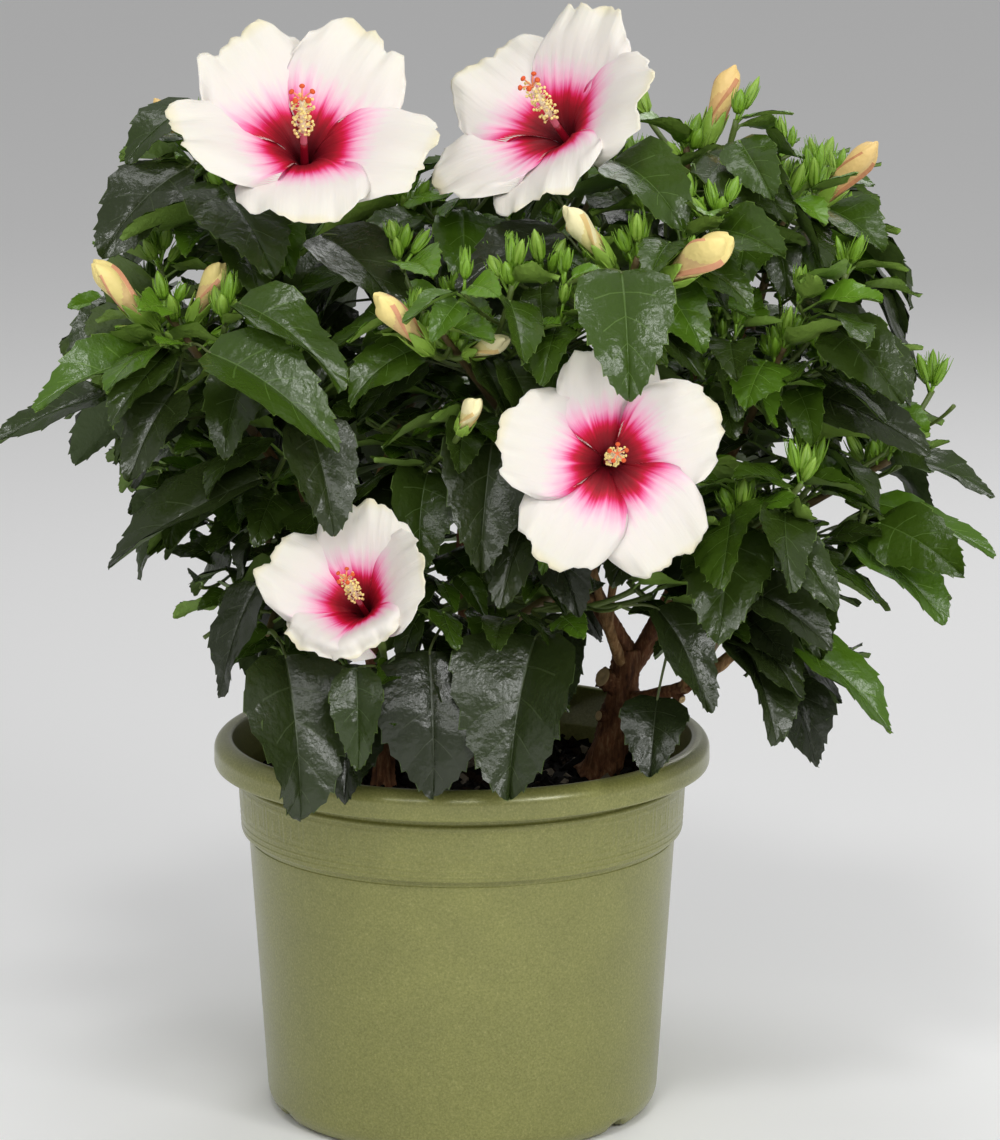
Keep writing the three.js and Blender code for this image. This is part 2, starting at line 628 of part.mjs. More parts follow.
// A young leaf of 8 faces, a kite that springs straight from its twig, or a grown leaf of 18: a three-sided
// petiole, and a blade with a point above and one below its middle. Both start at a point sunk in the twig.
function makeLeaf(node, turn, habit, swell) {
  const pitch = habit.young ? habit.startPitch : habit.petiolePitch;
  const foot = node.clone().addScaledVector(direction(turn, pitch), -LEAF.sunk);
  const root = habit.young ? foot : node.clone().addScaledVector(direction(turn, pitch), habit.petiole);
  const spot = (u, v, lift) => bladePoint(root, turn, habit, u, v, lift);
  const half = LEAF.thickness / 2 + swell;
  if (habit.young) {
    const corners = [foot, spot(0.45, -1), spot(0.45, 1), spot(1, 0), spot(0.45, 0, half), spot(0.45, 0, -half)];
    return solidFrom(corners, YOUNG_LEAF_FACES);
  }
  const [shoulder] = LEAF.shoulder;
  const [flank] = LEAF.flank;
  const corners = [
    foot,
    ...petioleRing(root, turn, LEAF.petioleRadius + swell, habit.startPitch),
    spot(shoulder, -1),
    spot(shoulder, 1),
    spot(flank, -1),
    spot(flank, 1),
    spot(1, 0),
    spot(LEAF.middle, 0, half),
    spot(LEAF.middle, 0, -half),
  ];
  return solidFrom(corners, LEAF_FACES);
}
// Corners: foot, left and right shoulder, tip, above, below.
const YOUNG_LEAF_FACES = [[0, 2, 4], [2, 3, 4], [3, 1, 4], [1, 0, 4], [2, 0, 5], [3, 2, 5], [1, 3, 5], [0, 1, 5]];
// Corners: foot, petiole's end (left, right, below), shoulders, flanks, tip, above, below.
const LEAF_FACES = [
  [1, 2, 9], [2, 5, 9], [5, 7, 9], [7, 8, 9], [8, 6, 9], [6, 4, 9], [4, 1, 9], [2, 1, 0], [1, 3, 0],
  [5, 2, 3], [5, 3, 10], [7, 5, 10], [8, 7, 10], [6, 8, 10], [4, 6, 10], [4, 10, 3], [1, 4, 3], [3, 2, 0],
];

// Three points round a petiole: left, right and below.
function petioleRing(centre, turn, radius, pitch) {
  const level = direction(turn - 90, 0);
  return [
    centre.clone().addScaledVector(level, -radius),
    centre.clone().addScaledVector(level, radius),
    centre.clone().addScaledVector(direction(turn, pitch - 90), radius),
  ];
}

// Whether a corner of a leaf lies inside the crown's outline.
function inCrown(x, y, z) {
  const next = CROWN.findIndex(([height]) => height >= z);
  if (next < 1) return false;
  const [low, high] = [CROWN[next - 1], CROWN[next]];
  const [left, right, depth] = [1, 2, 3].map((k) => mix(low[k], high[k], (z - low[0]) / (high[0] - low[0])));
  return x >= left && x <= right && Math.abs(y) <= depth;
}

// A leaf in the way is tried a little aside, then shorter: [degrees, share of its length].
const TRIES = [[0, 1], [24, 1], [-24, 1], [48, 1], [-48, 1], [0, 0.75], [36, 0.75], [-36, 0.75], [0, 0.55]];

// Adds one leaf to a mass where it is clear, or leaves it out.
function addLeaf(mass, node, turn, habit) {
  const elsewhere = (other) => other.node !== mass.name || other.kind === "leaf";
  for (const [aside, share] of TRIES) {
    const heading = turn + aside;
    const sized = { ...habit, length: habit.length * share, width: habit.width * share };
    const leaf = makeLeaf(node, heading, sized, 0);
    const faces = facesOf(leaf);
    let inside = true;
    for (let i = 0; i < faces.length; i += 3) inside &&= inCrown(faces[i], faces[i + 1], faces[i + 2]);
    if (!inside) continue;
    if (!isClear(makeLeaf(node, heading, sized, LEAF_CLEARANCE), elsewhere)) continue;
    if (!isClear(outerBlade(node, heading, sized), () => true)) continue;
    mass.parts.push(leaf);
    mass.leaves += 1;
    place(mass.name, "leaf", leaf);
    return;
  }
}

// The blade alone, without the petiole that is meant to reach into its own twig.
function outerBlade(node, turn, habit) {
  const pitch = habit.young ? habit.startPitch : habit.petiolePitch;
  const root = node.clone().addScaledVector(direction(turn, pitch), habit.petiole * 0.6);
  const outer = { ...habit, petiole: habit.petiole * 0.4, length: habit.length - (habit.young ? habit.petiole * 0.6 : 0) };
  return makeLeaf(root, turn, outer, LEAF_CLEARANCE);
}

// How far below the shoot's tip leaf number i stands.
const nodeDepth = (i) => 4 + 8 * i + 1.5 * i * i;

function addShootLeaves(mass, shoot, i) {
  const length = shoot.length;
  const share = 1 - nodeDepth(i) / length;
  if (share < 0.06 || i >= shoot.leaves) return;
  const random = seeded(shoot.seed * 97 + i);
  const habit = leafHabit(i, random, mass.droop);
  const node = shoot.curve.getPoint(mix(shoot.start, 1, share));
  const spiral = shoot.turn + i * 137.5;
  const outward = turnOf(node.clone().sub(new THREE.Vector3(...CROWN_AXIS, node.z)));
  const lean = Math.atan2(Math.sin((outward - spiral) * DEG), Math.cos((outward - spiral) * DEG)) / DEG;
  addLeaf(mass, node, spiral + lean * 0.4, habit);
}
const CROWN_AXIS = [20, 0]; // leaves lean away from this upright line

// A pointed green bud on a short stalk.
function makeBud(foot, along, stalk, length, radius) {
  return turned([[0, -1], [0.9, stalk], [radius, stalk + length * 0.4], [0, stalk + length]], TWIG_SIDES, foot, along);
}

const BUDS_IN_SOLID = [3, 0]; // on a leading shoot and on a side shoot

function addRosette(mass, shoot) {
  const random = seeded(shoot.seed * 31 + 7);
  for (let i = 0; i < Math.min(shoot.buds, BUDS_IN_SOLID[shoot.start > 0 ? 0 : 1]); i++) {
    const along = direction(i * 137.5 + shoot.turn, mix(72, 38, i / 6) + (random() - 0.5) * 16);
    const foot = shoot.curve.getPoint(1 - (0.5 + 3 * i) / shoot.length);
    const bud = makeBud(foot, along, mix(5, 13, random()), mix(13, 20, random()), 3.3);
    if (!isClear(bud, (other) => other.node !== mass.name)) continue;
    mass.parts.push(bud);
    place(mass.name, "bud", bud);
  }
}

function addShoot(mass, shoot) {
  const swelling = (share) => mix(shoot.radius[0], shoot.radius[1], share) + GAP;
  const free = tube(shoot.curve, swelling, TWIG_SIDES, 2, shoot.start, 1);
  if (!isClear(free, (other) => other.node !== mass.name && other.node !== "bough_" + mass.name)) return false;
  const solid = tube(shoot.curve, taper(...shoot.radius), TWIG_SIDES, 2, shoot.start, 1);
  mass.parts.push(solid);
  mass.shoots.push(shoot);
  place(mass.name, "twig", solid);
  return true;
}

// A mass's leading shoot runs on from its bough, and side shoots fan out from it.
function addShoots(name, { shoots, buds, turn, seed, droop = 0 }) {
  const mass = { name, parts: [], shoots: [], leaves: 0, droop };
  const { curve } = ways[name];
  const random = seeded(seed);
  const clip = GAP / curve.getLength();
  const length = curve.getLength() * (1 - BOUGH_SHARE);
  const leader = { curve, start: BOUGH_SHARE + clip, length, radius: SHOOT_RADIUS, turn, buds, seed, leaves: 9 };
  if (!addShoot(mass, leader)) console.error(name + ": its leading shoot is in the way");
  const ahead = turnOf(curve.getTangent(1));
  for (let i = 0; i < shoots; i++) {
    const from = curve.getPoint(mix(BOUGH_SHARE, 1, mix(0.12, 0.62, (i + random()) / shoots)));
    const side = (i % 2 ? -1 : 1) * mix(55, 105, random());
    const reach = mix(46, 74, random());
    const pitch = mix(8, 44, random()) - droop;
    const out = direction(ahead + side, pitch);
    const bend = from.clone().addScaledVector(out, reach * 0.55);
    const end = from.clone().addScaledVector(direction(ahead + side, pitch + 16), reach);
    const shoot = {
      curve: new THREE.QuadraticBezierCurve3(from, bend, end),
      start: 0,
      length: reach,
      radius: SIDE_SHOOT_RADIUS,
      turn: ahead + side + 90 * random(),
      buds: Math.floor(buds / 2),
      seed: seed * 10 + i,
      leaves: 6,
    };
    addShoot(mass, shoot);
  }
  return mass;
}

// A large bud: a green calyx, then furled petals, on a stalk from the mass's crest.
function addLargeBud(mass, { tip, length }) {
  const crest = ways[mass.name].curve.getPoint(0.94);
  const end = vector(tip);
  const along = end.clone().sub(crest).normalize().addScaledVector(UP, 0.25).normalize();
  const foot = end.clone().addScaledVector(along, -length);
  const outline = [[0, -2], [4.4, 1], [6, length * 0.35], [5, length * 0.75], [0, length]];
  const bud = turned(outline, 5, foot, along);
  const stalk = new THREE.QuadraticBezierCurve3(crest, foot.clone().addScaledVector(along, -12), foot);
  const parts = [bud, tube(stalk, taper(1.4, 1.7), TWIG_SIDES, 2)];
  const free = parts.every((part) => isClear(part, (other) => other.node !== mass.name));
  if (!free) console.error(mass.name + ": a large bud at " + tip + " is in the way");
  if (!free) return;
  for (const part of parts) {
    mass.parts.push(part);
    place(mass.name, "bud", part);
  }
}

// ---- Assembly -------------------------------------------------------------------------------------

const plant = new THREE.Group();
plant.name = "potted_hibiscus";

function addNode(name, solid, material) {
  const mesh = new THREE.Mesh(geometryOf(solid), material);
  mesh.name = name;
  plant.add(mesh);
}

const pot = makePot();
addNode("pot", pot, COLOURS.pot);
place("pot", "pot", pot);
const mixSolid = makeMix();
addNode("potting_mix", mixSolid, COLOURS.mix);
place("potting_mix", "pot", mixSolid);

addLimbs();
for (const { name, solid } of limbNodes) addNode(name, solid, COLOURS.bark);

for (const [name, bloom] of Object.entries(BLOOMS)) addNode(name, makeBloom(name, bloom), COLOURS.petal);

const masses = Object.entries(MASSES).map(([name, mass]) => addShoots(name, mass));
for (const bud of Object.values(LARGE_BUDS)) addLargeBud(masses.find(({ name }) => name === bud.on), bud);
for (const mass of masses) mass.shoots.forEach((shoot) => addRosette(mass, shoot));
const MOST_LEAVES = 9;
for (let i = 0; i < MOST_LEAVES; i++) {
  for (const mass of masses) mass.shoots.forEach((shoot) => addShootLeaves(mass, shoot, i));
}
for (const mass of masses) addNode("mass_" + mass.name, largest(Manifold.union(mass.parts)), COLOURS.leaf);

export default plant;
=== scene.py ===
"""Fine model of a potted hibiscus shrub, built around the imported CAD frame.

Everything is worked out in millimetres and handed to Blender in metres. The limbs, masses, shoots,
blooms and large buds stand where the part's source puts them; leaves grow by the same rule, carried
to finer twigs."""

import json
from dataclasses import dataclass
from math import atan2, cos, degrees, exp, hypot, pi, radians, sin, sqrt

import bpy
import numpy as np
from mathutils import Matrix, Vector
from numpy.linalg import norm

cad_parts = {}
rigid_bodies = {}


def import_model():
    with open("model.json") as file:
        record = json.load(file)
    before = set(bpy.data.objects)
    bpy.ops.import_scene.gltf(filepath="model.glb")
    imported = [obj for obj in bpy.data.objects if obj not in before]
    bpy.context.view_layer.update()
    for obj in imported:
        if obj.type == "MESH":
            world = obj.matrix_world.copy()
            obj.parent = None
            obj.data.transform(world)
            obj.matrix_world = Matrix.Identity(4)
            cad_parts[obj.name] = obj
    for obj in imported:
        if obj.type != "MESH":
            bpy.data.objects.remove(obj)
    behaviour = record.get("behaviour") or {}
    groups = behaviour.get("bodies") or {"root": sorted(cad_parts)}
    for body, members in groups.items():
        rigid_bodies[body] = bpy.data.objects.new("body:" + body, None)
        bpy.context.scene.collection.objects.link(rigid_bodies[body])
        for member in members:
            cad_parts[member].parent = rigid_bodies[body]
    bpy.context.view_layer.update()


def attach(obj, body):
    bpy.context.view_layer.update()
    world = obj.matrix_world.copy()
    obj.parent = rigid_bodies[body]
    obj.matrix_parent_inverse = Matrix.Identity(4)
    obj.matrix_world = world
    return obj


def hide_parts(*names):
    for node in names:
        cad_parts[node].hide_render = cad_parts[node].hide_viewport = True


for startup in list(bpy.data.objects):
    bpy.data.objects.remove(startup)
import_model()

MM = 0.001
GAP = 0.3
UP = np.array([0.0, 0.0, 1.0])
GOLDEN_TURN = 137.5
ANY_PHASE = 6.3

# ---- The plant's named sizes, as in the part's source ----

POT = dict(height=196, wall=2.6, floor=4, foot=92, corner=101, corner_height=12, body=109.2, body_height=140,
           collar_low=(113.2, 147), collar_high=(115.2, 180), lip=(127, 181.5), rim_width=10, rim_round=7.2,
           drains=6, drain_turn=24, drain_height=5.5)
SOIL_HEIGHT = 168
STEM_SUNK = 6
BOUGH_SHARE = 0.55
BOUGH_RADIUS = (3.3, 2.4)
SHOOT_RADIUS = (3, 2)
SIDE_SHOOT_RADIUS = (1.4, 1.9)
THROAT_HEIGHT = 20
CROWN_AXIS = (20, 0)

# height, left, right, depth to either side of the axis
CROWN = np.array([
    (184, -120, 150, 150), (215, -122, 214, 165), (262, -128, 222, 190), (277, -180, 244, 200), (300, -182, 274, 212),
    (345, -234, 274, 212), (395, -216, 232, 208), (445, -190, 226, 196), (497, -170, 208, 176), (530, -164, 172, 156),
    (558, -150, 150, 140)], float)

LIMBS = {
    "trunk": dict(start=(68, 15), to=(85, 10, 238), radius=(9.6, 7.2), bow=(3, 0), flare=1.3),
    "stem_left": dict(start=(-40, -4), to=(-62, -14, 318), radius=(5.2, 3.8), bow=(6, 6), flare=1.3),
    "stem_thin": dict(start=(-54, 10), to=(-84, 34, 282), radius=(3.4, 2.6), bow=(5, 0), flare=1.3),
    "stem_back": dict(start=(14, 52), to=(6, 62, 330), radius=(7.4, 5), bow=(-6, 4), flare=1.3),
    "limb_centre": dict(start=("trunk", 0.97), to=(52, -30, 345), radius=(5, 3.8), bow=(-8, -4)),
    "limb_right": dict(start=("trunk", 0.8), to=(122, 0, 335), radius=(5.2, 3.9), bow=(10, 4)),
    "limb_low": dict(start=("trunk", 0.62), to=(124, -42, 236), radius=(3.6, 2.8), bow=(6, -4)),
}

# limb, share along it, crest, side shoots, buds, turn, droop, seed
MASSES = {
    "left_front": ("stem_left", 0.74, (-145, -62, 424), 3, 7, 200, 0, 11),
    "upper_left": ("stem_left", 0.98, (-120, 18, 488), 3, 2, 250, 0, 12),
    "upper_centre": ("stem_back", 0.98, (-28, -6, 470), 3, 3, 280, 0, 13),
    "centre": ("limb_centre", 0.8, (-8, -130, 424), 3, 6, 300, 0, 14),
    "centre_right": ("limb_centre", 0.98, (86, -110, 458), 3, 7, 265, 0, 15),
    "top_right": ("limb_right", 0.98, (112, -20, 500), 3, 6, 262, 0, 16),
    "right_shoulder": ("limb_right", 0.86, (166, 0, 474), 3, 4, 320, 0, 17),
    "right_middle": ("limb_right", 0.7, (158, -86, 410), 3, 4, 300, 0, 18),
    "far_right": ("limb_right", 0.5, (214, -36, 344), 3, 2, 330, 0, 19),
    "far_right_low": ("limb_low", 0.95, (190, -22, 286), 2, 0, 345, 0, 20),
    "right_lower": ("limb_right", 0.32, (136, -116, 332), 3, 3, 290, 0, 21),
    "low_right": ("limb_low", 0.6, (136, -84, 276), 3, 0, 310, 0, 22),
    "low_centre": ("limb_centre", 0.25, (22, -112, 274), 3, 0, 262, 22, 23),
    "middle": ("limb_centre", 0.55, (-26, -112, 352), 3, 0, 250, 0, 24),
    "low_left_front": ("stem_left", 0.32, (-30, -116, 254), 3, 0, 272, 22, 25),
    "left_lower": ("stem_left", 0.55, (-122, -62, 334), 3, 0, 205, 0, 26),
    "left_hang": ("stem_thin", 0.84, (-96, -74, 264), 3, 0, 230, 20, 27),
    "heart": ("stem_left", 0.86, (-16, -58, 396), 3, 0, 300, 0, 33),
    "back_left": ("stem_thin", 0.98, (-146, 92, 386), 3, 3, 120, 0, 28),
    "back_left_top": ("stem_back", 0.9, (-72, 106, 464), 3, 4, 95, 0, 29),
    "back_right_top": ("stem_back", 0.82, (74, 102, 476), 3, 4, 70, 0, 30),
    "back_right": ("stem_back", 0.62, (154, 98, 382), 3, 3, 30, 0, 31),
    "back_low": ("stem_back", 0.42, (6, 148, 312), 3, 0, 90, 0, 32),
}

BLOOMS = {
    "bloom_left": dict(on=("upper_left", 0.25), throat=(-76, -72, 508), faces=(0, -0.64, 0.77),
        open=62, size=1.15, turn=0),
    "bloom_top": dict(on=("upper_centre", 0.35), throat=(47, -52, 514), faces=(-0.5, -0.5, 0.7),
        open=64, size=1.1, turn=-36),
    "bloom_right": dict(on=("centre_right", 0.12), throat=(72, -163, 368), faces=(0.14, -0.97, 0.2),
        open=78, size=0.92, turn=-36),
    "bloom_low": dict(on=("low_left_front", 0.1), throat=(-48, -150, 296), faces=(-0.3, -0.7, 0.61),
        open=50, size=0.87, turn=-36),
}
PETAL_LENGTH = 71
PETALS = 5
HALF_OPEN = 56
COLUMN_LENGTH = 43

# hanging twigs below a bough, which carry the crown down towards the pot at the back and the left
LOW_TWIGS = {"back_low": 5, "left_hang": 3, "back_left": 4, "back_right": 4, "left_lower": 2, "far_right_low": 2}

# mass, tip, length, warmth of its petals (0 cream, 1 orange)
LARGE_BUDS = {
    "bud_far_left": ("left_front", (-179, -66, 448), 46, 0.5),
    "bud_left": ("left_front", (-117, -70, 448), 36, 0.6),
    "bud_centre": ("centre", (-38, -156, 446), 46, 0.4),
    "bud_centre_small": ("centre", (22, -146, 424), 28, 0.1),
    "bud_middle": ("middle", (8, -166, 398), 26, 0.2),
    "bud_centre_right": ("centre_right", (52, -128, 484), 40, 0.1),
    "bud_open": ("centre_right", (127, -146, 472), 50, 0.5),
    "bud_top": ("top_right", (136, -4, 537), 44, 0.8),
    "bud_shoulder": ("right_shoulder", (206, -14, 500), 50, 0.9),
    "bud_behind": ("top_right", (80, 24, 540), 34, 0.9),
    "bud_upper_left": ("upper_left", (-154, 34, 516), 30, 0.7),
    "bud_back": ("back_right_top", (60, 132, 516), 42, 0.5),
    "bud_back_left": ("back_left_top", (-96, 132, 500), 42, 0.4),
}

# ---- Maths ----


def mix(a, b, t):
    return a + (b - a) * t


def unit(v):
    return v / norm(v)


def smooth(x):
    x = np.clip(x, 0, 1)
    return x * x * (3 - 2 * x)


def vec(*xyz):
    return np.array(xyz, float)


def direction(turn, pitch):
    t, p = radians(turn), radians(pitch)
    return vec(cos(t) * cos(p), sin(t) * cos(p), sin(p))


def heading_of(v):
    """The turn of a vector about Z, in degrees."""
    return degrees(atan2(v[1], v[0]))


def seeded(seed):
    state = [(seed * 2654435761 + 12345) & 0xFFFFFFFF]

    def draw():
        state[0] = (state[0] * 1664525 + 1013904223) & 0xFFFFFFFF
        return state[0] / 4294967296

    return draw


class Bezier:
    """A Bezier curve of degree 1, 2 or 3."""

    def __init__(self, *points):
        self.p = [np.asarray(q, float) for q in points]
        steps = np.array([self.point(t) for t in np.linspace(0, 1, 201)])
        self.length = float(norm(np.diff(steps, axis=0), axis=1).sum())

    def point(self, t):
        p = self.p
        while len(p) > 1:
            p = [a + (b - a) * t for a, b in zip(p, p[1:])]
        return p[0]

    def tangent(self, t):
        a, b = max(0.0, t - 1e-4), min(1.0, t + 1e-4)
        return unit(self.point(b) - self.point(a))


def across(along):
    side = unit(np.cross(along, UP if abs(along[2]) < 0.9 else vec(1, 0, 0)))
    return side, unit(np.cross(side, along))


def spoke(side, rise, angle):
    return side * cos(angle) + rise * sin(angle)


def turns(sides):
    return np.arange(sides) * 2 * pi / sides


def hoop(centre, angles, r, side, rise):
    """Points round a centre, which may be one point or a point for each angle."""
    return centre + np.outer(np.cos(angles) * r, side) + np.outer(np.sin(angles) * r, rise)


def taper(start, end):
    return lambda s: mix(start, end, s)


def rings(curve, radius, sides, steps, start=0.0, end=1.0, relief=None):
    """Rings of points round a curve. A radius, or radius(share), and relief(share, angles) give the surface."""
    _, first = across(curve.tangent(start))
    angles = turns(sides)
    out = np.empty((steps + 1, sides, 3))
    for j in range(steps + 1):
        s = j / steps
        t = mix(start, end, s)
        along = curve.tangent(t)
        side = unit(np.cross(along, first))
        rise = np.cross(side, along)
        r = (radius(s) if callable(radius) else radius) * np.ones(sides)
        if relief is not None:
            r = r + relief(s, angles)
        out[j] = hoop(curve.point(t), angles, r, side, rise)
    return out


def grid_faces(rows, cols, base=0):
    """Quads between the points of an open grid of rows x cols cells."""
    j, i = np.meshgrid(np.arange(rows), np.arange(cols), indexing="ij")
    p = (j * (cols + 1) + i).reshape(-1) + base
    return np.stack([p, p + cols + 1, p + cols + 2, p + 1], 1)


def ring_faces(steps, sides):
    j, i = np.meshgrid(np.arange(steps), np.arange(sides), indexing="ij")
    a, b = j * sides + i, j * sides + (i + 1) % sides
    return np.stack([a, b, b + sides, a + sides], -1).reshape(-1, 4)


def halves(verts, quads):
    """The corners of the two triangles of each quad."""
    return np.concatenate([verts[quads[:, [0, 1, 2]]], verts[quads[:, [0, 2, 3]]]])


def tube_tris(points):
    return halves(points.reshape(-1, 3), ring_faces(points.shape[0] - 1, points.shape[1]))


def coarse_tube(curve, radius, sides, steps, start=0.0, end=1.0):
    return tube_tris(rings(curve, radius, sides, steps, start, end))


# ---- Piles of faces that become one mesh ----


class Pile:
    def __init__(self):
        self.verts, self.quads, self.tris, self.quad_mats, self.tri_mats, self.count = [], [], [], [], [], 0
        self.values = {}

    def add(self, verts, quads=None, tris=None, mat=0, **values):
        verts = np.asarray(verts, float).reshape(-1, 3)
        for faces, kept, mats in ((quads, self.quads, self.quad_mats), (tris, self.tris, self.tri_mats)):
            if faces is not None and len(faces):
                faces = np.asarray(faces, int)
                kept.append(faces + self.count)
                mats.append(np.broadcast_to(np.asarray(mat, int), (len(faces),)))
        for key, value in values.items():
            self.values.setdefault(key, []).append(np.asarray(value, float).reshape(-1))
        self.verts.append(verts)
        self.count += len(verts)

    def add_tube(self, points, mat=0):
        """Closed tube from an array of rings."""
        steps, sides = points.shape[0] - 1, points.shape[1]
        verts = np.vstack([points.reshape(-1, 3), points[0].mean(0), points[-1].mean(0)])
        foot, last = (steps + 1) * sides, steps * sides
        i = np.arange(sides)
        after = (i + 1) % sides
        tris = np.vstack([np.stack([after, i, np.full(sides, foot)], 1),
                          np.stack([last + i, last + after, np.full(sides, foot + 1)], 1)])
        self.add(verts, ring_faces(steps, sides), tris, mat)


def make_object(name, pile, materials, replaces=(), smooth_shade=True, uv=None):
    mesh = bpy.data.meshes.new(name)
    verts = np.vstack(pile.verts) * MM
    quads = np.vstack(pile.quads + [np.zeros((0, 4), int)])
    tris = np.vstack(pile.tris + [np.zeros((0, 3), int)])
    mats = np.concatenate(pile.quad_mats + pile.tri_mats)
    loops = np.concatenate([quads.reshape(-1), tris.reshape(-1)]).astype(np.int32)
    totals = np.repeat([4, 3], [len(quads), len(tris)]).astype(np.int32)
    starts = np.concatenate([[0], np.cumsum(totals)[:-1]]).astype(np.int32)
    mesh.vertices.add(len(verts))
    mesh.vertices.foreach_set("co", verts.astype(np.float32).reshape(-1))
    mesh.loops.add(len(loops))
    mesh.loops.foreach_set("vertex_index", loops)
    mesh.polygons.add(len(totals))
    mesh.polygons.foreach_set("loop_start", starts)
    mesh.polygons.foreach_set("material_index", mats.astype(np.int32))
    mesh.update(calc_edges=True)
    for m in materials:
        mesh.materials.append(m)
    mesh.polygons.foreach_set("use_smooth", np.full(len(totals), smooth_shade))
    for key, parts in pile.values.items():
        values = np.concatenate(parts).astype(np.float32)
        mesh.attributes.new(key, "FLOAT", "POINT").data.foreach_set("value", values)
    if uv is not None:
        mesh.uv_layers.new(name="OFBake").data.foreach_set("uv", uv[loops].astype(np.float32).reshape(-1))
    mesh.validate()
    obj = bpy.data.objects.new(name, mesh)
    bpy.context.scene.collection.objects.link(obj)
    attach(obj, "root")
    if replaces:
        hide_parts(*replaces)
    return obj


# ---- Room: coarse shapes already placed ----


class Room:
    def __init__(self):
        self.tris, self.low, self.high, self.nodes = [], [], [], []

    def put(self, node, tris):
        tris = np.asarray(tris, float)
        self.tris.append(tris)
        self.nodes.append(node)
        self.low.append(tris.min((0, 1)))
        self.high.append(tris.max((0, 1)))

    def put_sheet(self, a, b, c, d):
        """A sheet that leaves keep off, so that what lies behind it stays in sight."""
        self.put("sight", [(a, b, c), (a, c, d)])

    def clear(self, tris, skip=()):
        lows, highs = np.array(self.low), np.array(self.high)
        near = np.nonzero(np.all(lows <= tris.max((0, 1)), 1) & np.all(highs >= tris.min((0, 1)), 1))[0]
        others = [self.tris[k] for k in near if self.nodes[k] not in skip]
        if not others:
            return True
        other = np.concatenate(others)
        a_low, a_high, b_low, b_high = tris.min(1), tris.max(1), other.min(1), other.max(1)
        i, j = np.nonzero(np.all(a_low[:, None] <= b_high[None], 2) & np.all(a_high[:, None] >= b_low[None], 2))
        if not len(i):
            return True
        a, b = tris[i], other[j]
        return not (pierced(a, b).any() or pierced(b, a).any())


def pierced(a, b):
    """Whether an edge of each triangle in a goes through its partner in b."""
    hit = np.zeros(len(a), bool)
    e, f = b[:, 1] - b[:, 0], b[:, 2] - b[:, 0]
    dots = lambda p, q: np.einsum("ij,ij->i", p, q)
    for k in range(3):
        p, d = a[:, k], a[:, (k + 1) % 3] - a[:, k]
        h = np.cross(d, f)
        slope = dots(e, h)
        safe = np.where(np.abs(slope) < 1e-9, 1, slope)
        s = p - b[:, 0]
        q = np.cross(s, e)
        u, v, t = dots(s, h) / safe, dots(d, q) / safe, dots(f, q) / safe
        hit |= (np.abs(slope) >= 1e-9) & (u >= 0) & (v >= 0) & (u + v <= 1) & (t >= 0) & (t <= 1)
    return hit


room = Room()

# ---- Limbs ----

ways = {}


def mass_curve(limb, share, crest):
    start, end = ways[limb].point(share), vec(*crest)
    reach = norm(end - start)
    bend = start + vec(*(0.5 * (end - start))[:2], max(0.5 * (end[2] - start[2]), 0.22 * reach))
    return Bezier(start, bend, end)


for name, limb in LIMBS.items():
    s = limb["start"]
    start = ways[s[0]].point(s[1]) if isinstance(s[0], str) else vec(s[0], s[1], SOIL_HEIGHT - STEM_SUNK)
    end = vec(*limb["to"])
    middle = (start + end) / 2 + vec(*limb["bow"], 0)
    ways[name] = Bezier(start, 2 * middle - (start + end) / 2, end)
for name, m in MASSES.items():
    ways[name] = mass_curve(*m[:3])


def limb_radius(limb):
    foot, tip = limb["radius"]
    flare = limb.get("flare", 1)
    return lambda s: mix(foot, tip, s) * (1 + (flare - 1) * max(0, 1 - s * 9) ** 2)


def bark_relief(radius, seed, length):
    """Ridges along the stem, rings at old leaf scars, and knots."""
    draw = seeded(seed)
    waves = [(draw() * ANY_PHASE, 3 + int(draw() * 9), draw() * 8 - 4, mix(0.02, 0.05, draw())) for _ in range(9)]
    scars = [(draw(), draw() * ANY_PHASE, mix(0.1, 0.22, draw())) for _ in range(max(3, int(length / 16)))]

    def relief(s, angles):
        out = np.zeros_like(angles)
        for phase, around, along, height in waves:
            out += height * np.sin(around * angles + along * 6.3 * s + phase)
        out += 0.035 * np.sin(s * length * 1.9 + 2.3 * np.sin(angles + s * 9)) * np.sin(3 * angles + s * length * 0.23)
        for place, turn, size in scars:
            d2 = ((s - place) * length / 2.6) ** 2 + ((np.angle(np.exp(1j * (angles - turn)))) / 0.75) ** 2
            out += size * np.exp(-d2) - 0.5 * size * np.exp(-4 * d2)
        return out * (radius(s) if callable(radius) else radius)

    return relief


bark, boughs = Pile(), Pile()
for k, (name, limb) in enumerate(LIMBS.items()):
    curve, radius = ways[name], limb_radius(limb)
    rooted = not isinstance(limb["start"][0], str)
    first = (STEM_SUNK - 0.4) / (curve.p[-1][2] - curve.p[0][2]) if rooted else 0.0
    relief = bark_relief(radius, 70 + k, curve.length)
    bark.add_tube(rings(curve, radius, 26, int(curve.length / 1.6), first, 1, relief))
    room.put("limb", coarse_tube(curve, radius, 7, 5, first, 1))
for k, name in enumerate(MASSES):
    curve, radius = ways[name], taper(*BOUGH_RADIUS)
    relief = bark_relief(radius, 170 + k, curve.length * BOUGH_SHARE)
    boughs.add_tube(rings(curve, radius, 14, int(curve.length * BOUGH_SHARE / 2.2), 0, BOUGH_SHARE, relief))
    room.put("bough_" + name, coarse_tube(curve, radius, 5, 2, 0, BOUGH_SHARE))


